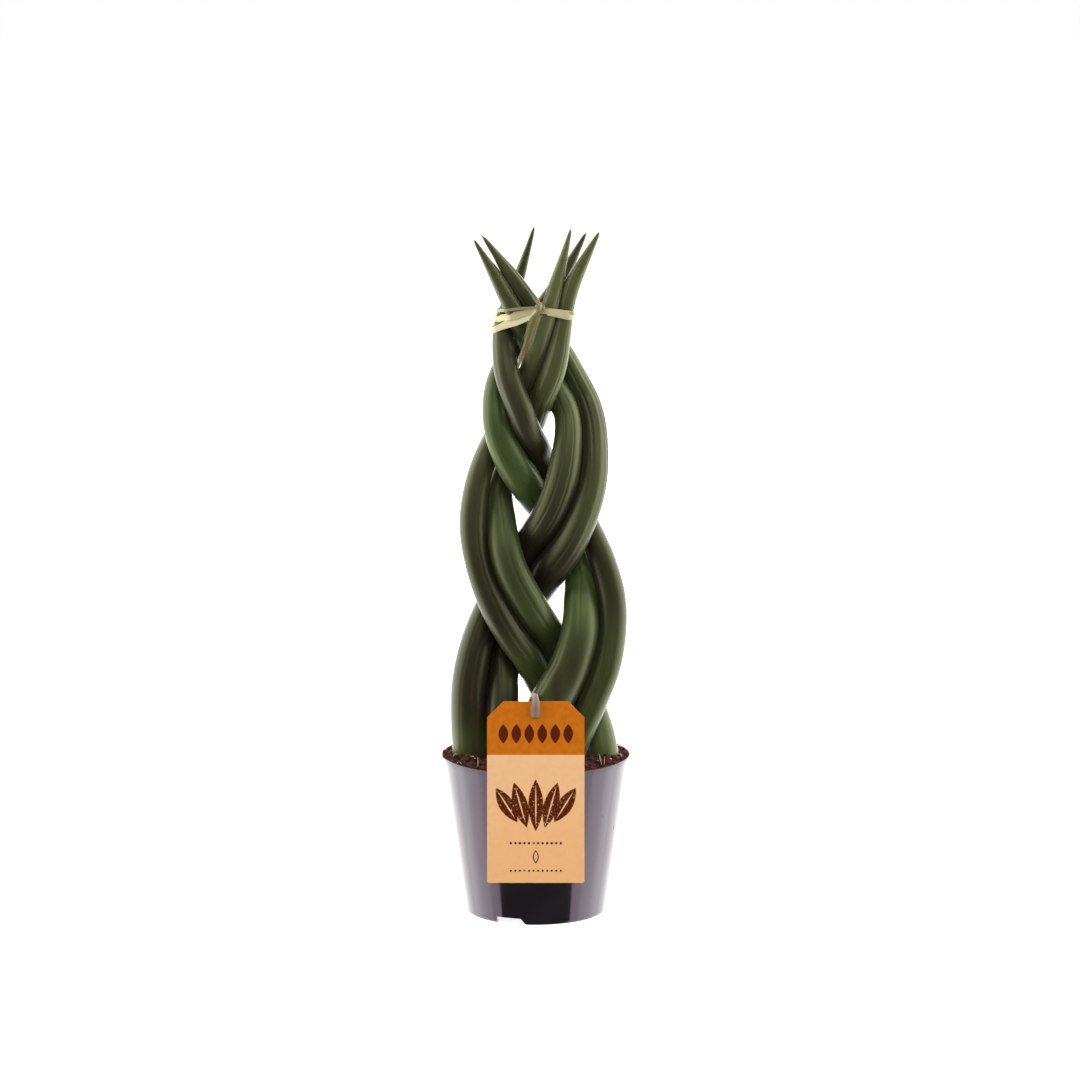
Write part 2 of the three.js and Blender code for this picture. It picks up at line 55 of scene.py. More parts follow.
import bmesh
import bpy
from mathutils import Vector, geometry
from mathutils.bvhtree import BVHTree

MM = 0.001
UP = Vector((0, 0, 1))
RIGHT = Vector((1, 0, 0))
NEARLY_NOTHING = 1e-9
print("one millimetre is", MM, "of Blender's metres")

# %% [markdown]
# ## The camera
# A long lens a little above the plant shows it calm and nearly level, as in a catalogue.
# The camera could be aimed with a constraint, but a place and one angle are easier to read
# and stay the same on every run.

# %% Camera
CAMERA_PLACE = (0.0026, -2.2, 0.585)
CAMERA_DOWN = math.radians(9)
LENS = 118.4
SENSOR_WIDTH = 36

camera_data = bpy.data.cameras.new("camera")
camera_data.lens = LENS
camera_data.sensor_width = SENSOR_WIDTH
camera = bpy.data.objects.new("camera", camera_data)
camera.location = CAMERA_PLACE
camera.rotation_euler = (math.pi / 2 - CAMERA_DOWN, 0, 0)
bpy.context.collection.objects.link(camera)
bpy.context.scene.camera = camera
print("camera lens:", LENS, "mm")

# %% [markdown]
# ## Words for node trees
# Both the shapes and the finishes below are node trees. Clicking them together is the usual
# way, but in a script a tree is easier to read as arithmetic. A `Wire` is one value on its
# way through a tree: adding or multiplying wires adds the Math nodes for it.


# %% Wires and nodes
class Wire:
    """One value in a node tree. Arithmetic on it adds Math nodes."""

    def __init__(self, tree, socket):
        self.tree = tree
        self.socket = socket

    def math(self, operation, *others):
        return wire(self.tree, "ShaderNodeMath", dict(enumerate((self, *others))), operation=operation)

    def ramp(self, low, high):
        """0 below low, 1 above high, and smooth between them."""
        ends = {"Value": self, "From Min": low, "From Max": high}
        return wire(self.tree, "ShaderNodeMapRange", ends, interpolation_type="SMOOTHSTEP")


ARITHMETIC = {"__add__": "ADD", "__sub__": "SUBTRACT", "__mul__": "MULTIPLY", "__truediv__": "DIVIDE"}
for method, operation in ARITHMETIC.items():
    setattr(Wire, method, lambda self, other, operation=operation: self.math(operation, other))


def node(tree, kind, inputs=None, **settings):
    """Adds a node, sets its options, and joins or sets its inputs."""
    made = tree.nodes.new(kind)
    for name, value in settings.items():
        setattr(made, name, value)
    for key, value in (inputs or {}).items():
        if isinstance(value, Wire):
            tree.links.new(value.socket, made.inputs[key])
        else:
            made.inputs[key].default_value = value
    return made


def wire(tree, kind, inputs=None, output=0, **settings):
    """Adds a node and gives the wire that leaves it."""
    return Wire(tree, node(tree, kind, inputs, **settings).outputs[output])


print("arithmetic that wires know:", ", ".join(ARITHMETIC.values()))

# %% [markdown]
# ## Vectors, noise and colours
# A vector wire needs its own arithmetic, because a Math node only works on single numbers.
# Noise gives soft random values. Stretched noise makes streaks and fibres, which is most of
# what dry raffia, furrowed leaves and card look like from near by.


# %% Vectors, noise and colours
def parts(vector):
    """The three numbers in a vector."""
    split = node(vector.tree, "ShaderNodeSeparateXYZ", {0: vector})
    return [Wire(vector.tree, socket) for socket in split.outputs]


def vector_of(tree, x, y, z):
    return wire(tree, "ShaderNodeCombineXYZ", {0: x, 1: y, 2: z})


def vector_math(operation, *vectors):
    """Vector arithmetic on wires; the first one says which tree it is in."""
    inputs = dict(enumerate(vectors))
    return wire(vectors[0].tree, "ShaderNodeVectorMath", inputs, operation=operation)


def scaled(vector, factor):
    return wire(vector.tree, "ShaderNodeVectorMath", {0: vector, "Scale": factor}, operation="SCALE")


def noise(vector, scale=1.0, detail=2.0, stretch=None):
    """Soft random values from 0 to 1, stretched along the axes of the vector."""
    if stretch:
        vector = vector_math("MULTIPLY", vector, stretch)
    inputs = {"Vector": vector, "Scale": scale, "Detail": detail}
    return wire(vector.tree, "ShaderNodeTexNoise", inputs)


def mixed(share, low, high):
    """A colour between two others."""
    return wire(share.tree, "ShaderNodeMix", {0: share, 6: low, 7: high}, output=2, data_type="RGBA")


print("a stretched noise is finer where its numbers are bigger")

# %% [markdown]
# ## Running a geometry tree
# A tree of geometry nodes gets named inputs for its sizes, so that one tree can make many
# pieces. Its modifier is fed through each input's identifier, evaluated once, and taken off
# again, so that what stays is a plain mesh.


# %% Geometry trees
def new_tree(name, inputs):
    """A geometry tree with named inputs, each as a wire."""
    tree = bpy.data.node_groups.new(name, "GeometryNodeTree")
    face = tree.interface
    face.new_socket("Geometry", in_out="INPUT", socket_type="NodeSocketGeometry")
    for label, (kind, value) in inputs.items():
        socket = face.new_socket(label, in_out="INPUT", socket_type="NodeSocket" + kind)
        if value is not None:
            socket.default_value = value
    face.new_socket("Geometry", in_out="OUTPUT", socket_type="NodeSocketGeometry")
    sockets = tree.nodes.new("NodeGroupInput").outputs
    return tree, {socket.name: Wire(tree, socket) for socket in sockets if socket.name}


def stored(shape, name, kind, value):
    """Keeps a value on every point, for the finish to read."""
    inputs = {"Geometry": shape, "Name": name, "Value": value}
    return wire(shape.tree, "GeometryNodeStoreNamedAttribute", inputs, data_type=kind)


def point_value(tree, name, kind="FLOAT"):
    return wire(tree, "GeometryNodeInputNamedAttribute", {"Name": name}, data_type=kind)


def close_tree(shape, material):
    """Ends a tree: real geometry, smooth, in its material."""
    tree = shape.tree
    real = wire(tree, "GeometryNodeRealizeInstances", {"Geometry": shape})
    smooth = wire(tree, "GeometryNodeSetShadeSmooth", {"Geometry": real})
    dressed = wire(tree, "GeometryNodeSetMaterial", {"Geometry": smooth, "Material": material})
    node(tree, "NodeGroupOutput", {"Geometry": dressed})
    return tree


print("a tree ends in real geometry, smooth, in its material")


# %% Pieces
def new_piece(name, points, edges=(), faces=()):
    """A mesh object in the scene."""
    mesh = bpy.data.meshes.new(name)
    mesh.from_pydata([tuple(p) for p in points], edges, faces)
    mesh.validate()
    piece = bpy.data.objects.new(name, mesh)
    bpy.context.collection.objects.link(piece)
    return piece


def piece_from(name, shape):
    """A mesh object out of a bmesh, which is used up."""
    piece = new_piece(name, [])
    shape.to_mesh(piece.data)
    shape.free()
    return piece


def applied(piece):
    """Turns what the modifiers make into the piece's own plain mesh."""
    graph = bpy.context.evaluated_depsgraph_get()
    mesh = bpy.data.meshes.new_from_object(piece.evaluated_get(graph))
    piece.modifiers.clear()
    piece.data = mesh
    return piece


def grown(piece, tree, values):
    """Runs a geometry tree on a piece."""
    modifier = piece.modifiers.new(tree.name, "NODES")
    modifier.node_group = tree
    for item in tree.interface.items_tree:
        if item.in_out == "INPUT" and item.name in values:
            modifier[item.identifier] = values[item.name]
    return applied(piece)


print("modifiers are run once and taken off again")


# %% Joining
def joined(name, pieces):
    """One piece out of several, each face still in its own material."""
    whole = bmesh.new()
    materials = list(dict.fromkeys(slot for piece in pieces for slot in piece.data.materials if slot))
    for piece in pieces:
        first = len(whole.faces)
        whole.from_mesh(piece.data)
        whole.faces.ensure_lookup_table()
        for face in whole.faces[first:]:
            face.material_index = materials.index(piece.data.materials[face.material_index])
    for piece in pieces:
        bpy.data.objects.remove(piece)
    result = piece_from(name, whole)
    for material in materials:
        result.data.materials.append(material)
    return result


SAME_PLACE = 0.001 * MM


def merged_copy(name):
    """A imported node's mesh with its loose triangles joined up."""
    shape = bmesh.new()
    shape.from_mesh(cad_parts[name].data)
    bmesh.ops.remove_doubles(shape, verts=shape.verts, dist=SAME_PLACE)
    return shape


print("corners nearer than", SAME_PLACE, "m are one")

# %% [markdown]
# ## Words for finishes
# Each finish is one principled surface. What is the same all over is set on its own socket.
# What changes from place to place comes in by a wire, from noise on the object's own
# coordinates or on a place that the geometry tree has stored on every point.


# %% Finishes
def new_material(name, **constants):
    """A principled material, with the numbers that are the same all over it."""
    material = bpy.data.materials.new(name)
    material.use_nodes = True
    surface = material.node_tree.nodes["Principled BSDF"]
    for label, value in constants.items():
        surface.inputs[label.replace("_", " ")].default_value = value
    return material, material.node_tree, surface


def dress(surface, **wires):
    """Joins wires to the sockets of a principled surface."""
    for label, value in wires.items():
        surface.id_data.links.new(value.socket, surface.inputs[label.replace("_", " ")])


def bump(height, distance, strength=1.0):
    inputs = {"Height": height, "Distance": distance, "Strength": strength}
    return wire(height.tree, "ShaderNodeBump", inputs)


def place_on_object(tree):
    return wire(tree, "ShaderNodeTexCoord", output=3)


def place_attribute(tree, name):
    return wire(tree, "ShaderNodeAttribute", output=1, attribute_name=name)


def amount_attribute(tree, name):
    return wire(tree, "ShaderNodeAttribute", output=2, attribute_name=name)


print("finishes are wired to one principled surface each")

# %% [markdown]
# ## Raffia ribbons
# Raffia is the dried skin of a palm leaf: a thin, flat strip that creases lengthwise and
# frays into fibres. Cloth simulation would be slow for such small strips. A rule does as
# well: a flat tube is swept along a path and pleated by noise that runs along the strip, and
# its middle is raised or sunk where the strip is folded. One tree makes every strip here,
# from the wraps round the leaves to the strip that holds the tag, and the root hairs too.
# The finish is straw with darker streaks and fine fibres. Each strip is told how weathered it
# is, and where shade is painted on it: across it, in its middle and at its ends.

# %% Raffia colours
# Each noise is stretched across, through and along the strip.
STREAKS = (900, 900, 26)
FIBRES = (3600, 3600, 60)
PATCHES = (260, 260, 110)
RAFFIA_RELIEF = 0.25 * MM
STRAW = (0.63, 0.56, 0.33, 1)
STRAW_STREAK = (0.36, 0.31, 0.145, 1)
# The darker colours stand for weathering and also for painted shade.
STRAW_AGED_AND_SHADE = (0.125, 0.105, 0.028, 1)
CREAM = (0.95, 0.64, 0.35, 1)
CREAM_STREAK = (0.86, 0.52, 0.26, 1)
# This darker colour is mostly painted shade, down the middle of the tag's strip.
CREAM_AGED_AND_SHADE = (0.22, 0.15, 0.11, 1)
print("raffia streaks:", STREAKS)


# %% Raffia finish
def raffia_material(name, fresh, streaked, aged_and_shaded_colour):
    """Dry leaf skin that runs from its fresh colour to a darker one, for weathering and for painted
    shade.
    """
    material, tree, surface = new_material(
        name, Roughness=0.6, Specular_IOR_Level=0.3, Sheen_Weight=0.05
    )
    place = place_attribute(tree, "strip_place")
    age = amount_attribute(tree, "age")
    streaks = noise(place, 1, 3, stretch=STREAKS)
    fibres = noise(place, 1, 2, stretch=FIBRES)
    patches = noise(place, 1, 2, stretch=PATCHES)
    straw = mixed(streaks.ramp(0.35, 0.65), streaked, fresh)
    # The darker colour stands for weathering, and for the shade that the strip tree paints on.
    aged_and_shaded = mixed((age + (patches - 0.5) * 1.6).ramp(0.1, 0.9), straw, aged_and_shaded_colour)
    crease = mixed(fibres.ramp(0.58, 0.42) * 0.5, aged_and_shaded, aged_and_shaded_colour)
    dress(surface, Base_Color=crease, Normal=bump(streaks + fibres * 0.5, RAFFIA_RELIEF))
    return material


RAFFIA = raffia_material("raffia", STRAW, STRAW_STREAK, STRAW_AGED_AND_SHADE)
PALE_RAFFIA = raffia_material("raffia_pale", CREAM, CREAM_STREAK, CREAM_AGED_AND_SHADE)
print("raffia finishes:", RAFFIA.name, "and", PALE_RAFFIA.name)

# %% The tree that makes a strip
RIPPLE = (900, 900, 45)
SWAY = (0, 60, 60)
SWAY_SHARE = 0.35
ENDS_FROM = (0.42, 0.5)


def unit_tube(tree, given):
    """An upright tube, 1 high and 1 in radius, and where each of its points is on it."""
    sizes = {"Vertices": given["Sides"], "Side Segments": given["Steps"], "Radius": 1.0, "Depth": 1.0}
    tube = wire(tree, "GeometryNodeMeshCylinder", sizes, fill_type="TRIANGLE_FAN")
    round_x, round_y, height = parts(wire(tree, "GeometryNodeInputPosition"))
    return tube, round_x, round_y, height + 0.5


def strip_tree():
    inputs = {
        "Sides": ("Int", 28),
        "Steps": ("Int", 120),
        "Thickness": ("Float", 0.3 * MM),
        "Pleat": ("Float", 0.5 * MM),
        "Fold": ("Float", 0.0),
        "Age": ("Float", 0.2),
        # Besides the strip's own weathering: shade painted across it, in its middle and at its ends.
        "Age Across": ("Float", 0.0),
        "Age Inside": ("Float", 0.0),
        "Age Ends": ("Float", 0.0),
        "Seed": ("Float", 0.0),
        "Material": ("Material", None),
    }
    tree, given = new_tree("raffia_strip", inputs)
    path = wire(tree, "GeometryNodeMeshToCurve", {"Mesh": given["Geometry"]})
    tube, round_x, round_y, share = unit_tube(tree, given)

    def along_path(kind, value, output):
        inputs = {"Curves": path, "Factor": share}
        made = node(tree, "GeometryNodeSampleCurve", inputs, data_type=kind, mode="FACTOR")
        if value:
            tree.links.new(value.socket, made.inputs["Value"])
        return Wire(tree, made.outputs[output])

    middle = along_path("FLOAT", None, "Position")
    travel = along_path("FLOAT", None, "Tangent")
    half = along_path("FLOAT", point_value(tree, "half_width"), "Value")
    rough_side = along_path("FLOAT_VECTOR", point_value(tree, "side", "FLOAT_VECTOR"), "Value")
    out = vector_math("NORMALIZE", vector_math("CROSS_PRODUCT", rough_side, travel))
    side = vector_math("CROSS_PRODUCT", travel, out)
    length = wire(tree, "GeometryNodeCurveLength", {"Curve": path})
    run = length * share

    across = round_x * half
    place = vector_of(tree, across + given["Seed"], given["Seed"], run)
    ripple = (noise(place, 1, 2, stretch=RIPPLE) - 0.5) * given["Pleat"]
    sway = (noise(place, 1, 1, stretch=SWAY) - 0.5) * half * SWAY_SHARE
    inside = round_x.math("ABSOLUTE").ramp(1.0, 0.2)
    thick = round_y * given["Thickness"] * 0.5
    lifted = scaled(out, ripple + thick + given["Fold"] * inside)
    spread = scaled(side, across + sway)
    moved = vector_math("ADD", middle, vector_math("ADD", lifted, spread))
    body = wire(tree, "GeometryNodeSetPosition", {"Geometry": tube, "Position": moved})
    body = stored(body, "strip_place", "FLOAT_VECTOR", place)
    at_ends = (share - 0.5).math("ABSOLUTE").ramp(*ENDS_FROM)
    # The strip's own weathering, plus shade painted across it, in its middle and at its ends.
    age = given["Age"] + given["Age Across"] * round_x
    age = age + given["Age Inside"] * inside + given["Age Ends"] * at_ends
    body = stored(body, "age", "FLOAT", age)
    return close_tree(body, given["Material"])


STRIP_TREE = strip_tree()
print("strip tree nodes:", len(STRIP_TREE.nodes))

# %% Paths and strips
SUBSTEPS = 16


def smooth_path(points, count):
    """A row of points on one smooth curve through the given ones, evenly spaced."""
    knots = [Vector(p) for p in points]
    knots = [knots[0] * 2 - knots[1], *knots, knots[-1] * 2 - knots[-2]]
    fine = []
    for a, b, c, d in zip(knots, knots[1:], knots[2:], knots[3:]):
        for step in range(SUBSTEPS):
            t = step / SUBSTEPS
            bend = (a * -1 + b * 3 - c * 3 + d) * t**3 + (a * 2 - b * 5 + c * 4 - d) * t**2
            fine.append((bend + (c - a) * t + b * 2) / 2)
    fine.append(knots[-2])
    reach = [0.0]
    for p, q in zip(fine, fine[1:]):
        reach.append(reach[-1] + (q - p).length)
    spread = []
    i = 0
    for step in range(count):
        target = reach[-1] * step / (count - 1)
        while i < len(fine) - 2 and reach[i + 1] < target:
            i += 1
        share = (target - reach[i]) / max(reach[i + 1] - reach[i], NEARLY_NOTHING)
        spread.append(fine[i].lerp(fine[i + 1], min(1.0, share)))
    return spread


def even(values, share):
    """A value part of the way along a list, straight between its entries."""
    place = share * (len(values) - 1)
    i = min(int(place), len(values) - 2)
    return values[i] + (values[i + 1] - values[i]) * (place - i)


def raffia_strip(name, points, widths, sides, seed, count=90, material=RAFFIA, **inputs):
    """Sweeps a strip of raffia along a path. `sides` gives the direction of its width."""
    path = smooth_path(points, count)
    piece = new_piece(name, path, edges=[(i, i + 1) for i in range(count - 1)])
    half = piece.data.attributes.new("half_width", "FLOAT", "POINT")
    side = piece.data.attributes.new("side", "FLOAT_VECTOR", "POINT")
    for i in range(count):
        share = i / (count - 1)
        half.data[i].value = even(widths, share) / 2
        side.data[i].vector = sides if isinstance(sides, Vector) else even(sides, share)
    values = {label.replace("_", " "): value for label, value in inputs.items()}
    return grown(piece, STRIP_TREE, {**values, "Seed": seed, "Material": material})


print("a path's corners are rounded in", SUBSTEPS, "steps between two of its points")

# %% [markdown]
# ## The strip that holds the tag
# The strip comes out of a knot wedged between the leaves, passes over the top edge of the
# card, lies down its front and goes back through the hole to the knot. A loose string would
# need a simulation. This one is held at both ends, so its route is a short list of places,
# measured along the card and square to it, the same as in the solid model.

# %% The card's place
TAG_THICKNESS = 0.9 * MM
TAG_LEAN = math.radians(8)
TAG_HOLE_BELOW = 7 * MM
TAG_TOP = Vector((0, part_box("tag")[1][1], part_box("tag")[1][2] - TAG_THICKNESS * math.sin(TAG_LEAN)))
AIR = 0.3 * MM
HOLDER = {"x": -1.2 * MM, "z": 141 * MM, "radius": 2.4 * MM, "thickness": 1 * MM}
HOLDER_SAG = 0.6 * MM
HOLDER_BEHIND = 8 * MM
HOLDER_BULGE = 0.8 * MM
HOLDER_RISE = 3.2 * MM
HOLDER_DROP = 9.6 * MM
HOLDER_WIDTHS = [
    w * MM for w in (1.8, 2, 2.2, 2.4, 2.4, 2.6, 2.6, 4.8, 6.2, 5.4, 3, 2.6, 2.6, 2.4, 2.4, 2.2, 1.8)
]
print("the card leans back", round(math.degrees(TAG_LEAN)), "degrees")


# %% The strip's route
def on_tag(down, front):
    """A spot so far down the card from its top edge, and so far in front of its back."""
    sine, cosine = math.sin(TAG_LEAN), math.cos(TAG_LEAN)
    return TAG_TOP + Vector((0, -down * sine - front * cosine, front * sine - down * cosine))


def holder_route():
    home = Vector((HOLDER["x"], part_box("tag_strip")[1][1] - HOLDER["radius"], HOLDER["z"]))
    clear = AIR + HOLDER["thickness"]
    face = TAG_THICKNESS + clear
    leave = home + Vector((0, -HOLDER["radius"] / 2, HOLDER["radius"] / 3))
    arrive = home + Vector((0, -HOLDER["radius"] / 2, -HOLDER["radius"] / 3))
    sag = Vector((0, 0, -HOLDER_SAG))
    return home, [
        leave,
        leave.lerp(on_tag(-clear, -HOLDER_BEHIND), 0.5) + sag,
        on_tag(-HOLDER_RISE, -HOLDER_BEHIND / 2),
        on_tag(-HOLDER_RISE - AIR, 0),
        on_tag(-AIR, face),
        on_tag(TAG_HOLE_BELOW / 2, face + HOLDER_BULGE),
        on_tag(HOLDER_DROP - 1 * MM, face + HOLDER_BULGE / 2),
        on_tag(HOLDER_DROP, face - AIR),
        on_tag(TAG_HOLE_BELOW, TAG_THICKNESS / 2),
        on_tag(TAG_HOLE_BELOW, -clear - 1 * MM),
        arrive.lerp(on_tag(TAG_HOLE_BELOW, -HOLDER_BEHIND), 0.5) + sag,
        arrive,
    ]


knot_home, holder_points = holder_route()
print("places on the strip's route:", len(holder_points))

# %% Knots
LOOP_TURNS = 1.1
LOOP_POINTS = 14


def knot_turn(name, centre, radius, turn, widths, seed, **inputs):
    """One loop of a knot. `turn` has its two half axes and the direction of its width."""
    first, second, side = [Vector(direction) for direction in turn]
    first, second = first * radius, second * radius
    angles = [math.tau * LOOP_TURNS * i / (LOOP_POINTS - 1) for i in range(LOOP_POINTS)]
    loop = [centre + first * math.cos(a) + second * math.sin(a) for a in angles]
    return raffia_strip(name, loop, widths, side, seed, **inputs)


print("each loop of a knot has", LOOP_POINTS, "points")

# %% The strip and its knot
HOLDER_TURN_WIDTHS = [1.8 * MM, 2.4 * MM, 2.4 * MM, 1.8 * MM]
HOLDER_TURNS = [
    ((0.1, -0.8, 0.3), (0, 0.3, 0.8), (1, 0, 0)),
    ((0.8, -0.3, 0), (0.1, 0.2, 0.7), (0.2, 1, -0.2)),
    ((0.7, 0, -0.5), (0.1, -0.8, 0), (0.4, 0, 0.9)),
]

# Shade is painted grey-beige down the middle of the strip.
holder_loop = raffia_strip(
    "holder_loop", holder_points, HOLDER_WIDTHS, RIGHT, seed=3.1, material=PALE_RAFFIA, Steps=200,
    Pleat=0.3 * MM, Thickness=0.5 * MM, Fold=-0.7 * MM, Age=-0.2, Age_Inside=1.1,
)
holder_turns = [
    knot_turn(
        f"holder_turn_{i}", knot_home, HOLDER["radius"], turn, HOLDER_TURN_WIDTHS, seed=5.0 + i,
        count=30, Steps=36,
    )
    for i, turn in enumerate(HOLDER_TURNS)
]
tag_strip = joined("tag_strip_raffia", [holder_loop, *holder_turns])
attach(tag_strip, "root")
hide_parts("tag_strip")

# %% [markdown]
# ## The leaves
# A leaf of this plant is a round, firm, pointed cylinder with shallow lengthwise furrows. It
# could be sculpted, but a rule describes it better: rings that follow the leaf's middle
# line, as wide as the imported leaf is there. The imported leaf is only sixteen-sided, so its
# middle line and widths are read from its rings, and a geometry tree sweeps a fine section
# along them and presses the furrows in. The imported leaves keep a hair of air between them.
# Real ones press on each other, so the tree lets each skin out where a neighbour is near.

# %% Leaf sizes
LEAF_DEPTH = 0.86
LEAF_RIDGE = 1.01
LEAF_SIDES = 120
LEAF_STEPS = 280
FURROWS = 7.0
FURROW_DEPTH = 0.4 * MM
TIP_RADIUS = 0.22 * MM
FURROW_SHARPNESS = 7.0
FURROW_DRIFT = 2.2
FURROW_RUN = 2.5
SWELL = 0.06
SLENDER = (0.5 * MM, 7 * MM)
PRESS_REACH = (2.6 * MM, 0.8 * MM)
PRESS_OVERLAP = 0.15 * MM
# How far from the next leaf shade is painted into the crevice, and the skin made rougher.
CREVICE_REACH = 8 * MM
print("sides round a leaf's skin:", LEAF_SIDES)


# %% Reading a packed leaf
def leaf_rings(name):
    """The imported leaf's rings, from the base to the tip, as middle points and half widths."""
    shape = merged_copy(name)
    tip = max(shape.verts, key=lambda v: v.co.z)
    seen = {tip}
    ring = [tip]
    line = []
    while ring:
        middle = sum((v.co for v in ring), Vector()) / len(ring)
        half = max((v.co - middle).length for v in ring) / LEAF_RIDGE
        line.append((middle, max(half, TIP_RADIUS)))
        around = {e.other_vert(v) for v in ring for e in v.link_edges} - seen
        seen |= around
        ring = sorted(around, key=lambda v: tuple(v.co))
    shape.free()
    # The base is buried, so its end is simply as wide as the ring above it.
    line[-1] = (line[-1][0], line[-2][1])
    return line[::-1]


print("rings in the first leaf:", len(leaf_rings("leaf_left_outer")))

# %% [markdown]
# ### The leaf's finish
# The skin of this leaf is waxy and dark, with brown and green bands and fine pale lines that
# run its whole length, and it ends in a paler tip with a dry point. A painted image would
# need a flat layout of six bent leaves. Noise that is stretched along each leaf follows its
# bends by itself, because the geometry tree stores every point's place round and along its
# own leaf. The tree also stores how near the next leaf is, so that shade can be painted into
# the crevices, as it is into the furrows.

# %% Leaf colours
# Each noise is stretched across the leaf twice and then along it.
LEAF_BANDS = (230, 230, 8)
LEAF_LINES = (1300, 1300, 12)
LEAF_CLOUDS = (60, 60, 20)
LEAF_PORES = (2600, 2600, 90)
LEAF_RELIEF = 0.1 * MM
GREEN_HIGH = (0.038, 0.064, 0.013, 1)
GREEN_LOW = (0.078, 0.116, 0.030, 1)
BROWN_BAND = (0.015, 0.012, 0.006, 1)
OLIVE = (0.018, 0.0145, 0.009, 1)
PALE_LINE = (0.068, 0.088, 0.026, 1)
# Painted shade, for the crevices between leaves and the bottoms of the furrows.
PAINTED_CREVICE_SHADE = (0.008, 0.006, 0.004, 1)
PALE_FOOT = (0.070, 0.088, 0.034, 1)
YOUNG_TIP = (0.100, 0.106, 0.042, 1)
DRY_TIP = (0.24, 0.135, 0.10, 1)
# The first two and the foot are heights, and the tips are measured back from the point.
GREEN_CHANGES = (310 * MM, 220 * MM)
OLIVE_CHANGES = (190 * MM, 320 * MM)
FOOT_CHANGES = (125 * MM, 104 * MM)
YOUNG_CHANGES = (130 * MM, 30 * MM)
DRY_CHANGES = (7 * MM, 1.5 * MM)
print("the green changes between", GREEN_CHANGES, "m up")


# %% Leaf finish
def leaf_material():
    material, tree, surface = new_material(
        "leaf", IOR=1.46, Specular_IOR_Level=0.42, Specular_Tint=(0.88, 0.94, 0.52, 1),
        Sheen_Weight=0.02,
    )
    place = place_attribute(tree, "leaf_place")
    furrow = amount_attribute(tree, "furrow")
    from_tip = amount_attribute(tree, "from_tip")
    tone = amount_attribute(tree, "tone")
    bands = noise(place, 1, 2, stretch=LEAF_BANDS)
    lines = noise(place, 1, 3, stretch=LEAF_LINES)
    clouds = noise(place, 1, 3, stretch=LEAF_CLOUDS)
    height = parts(place_on_object(tree))[2]
    fresh = mixed(height.ramp(*GREEN_CHANGES), GREEN_HIGH, GREEN_LOW)
    green = mixed(bands.ramp(0.42, 0.61), BROWN_BAND, fresh)
    olive_share = clouds.ramp(0.40, 0.66) * tone * (height.ramp(*OLIVE_CHANGES) * 0.8 + 0.2)
    olive = mixed(olive_share, green, OLIVE)
    lined = mixed(lines.ramp(0.50, 0.70) * 0.5, olive, PALE_LINE)
    near = amount_attribute(tree, "near")
    # Shade is painted into the furrows and where the next leaf is near.
    shaded = mixed((furrow * 0.6).math("MAXIMUM", near * 0.9), lined, PAINTED_CREVICE_SHADE)
    foot = mixed(height.ramp(*FOOT_CHANGES) * 0.35, shaded, PALE_FOOT)
    young_share = from_tip.ramp(*YOUNG_CHANGES) * amount_attribute(tree, "young")
    young = mixed(young_share, foot, YOUNG_TIP)
    dry = mixed(from_tip.ramp(*DRY_CHANGES), young, DRY_TIP)
    fine = lines * 0.6 + noise(place, 1, 3, stretch=LEAF_PORES) * 0.4
    rough = near.ramp(0.15, 0.6) * 0.5 + 0.4
    dress(surface, Base_Color=dry, Roughness=rough, Normal=bump(fine, LEAF_RELIEF, strength=0.7))
    return material


LEAF = leaf_material()
print("leaf finish nodes:", len(LEAF.node_tree.nodes))


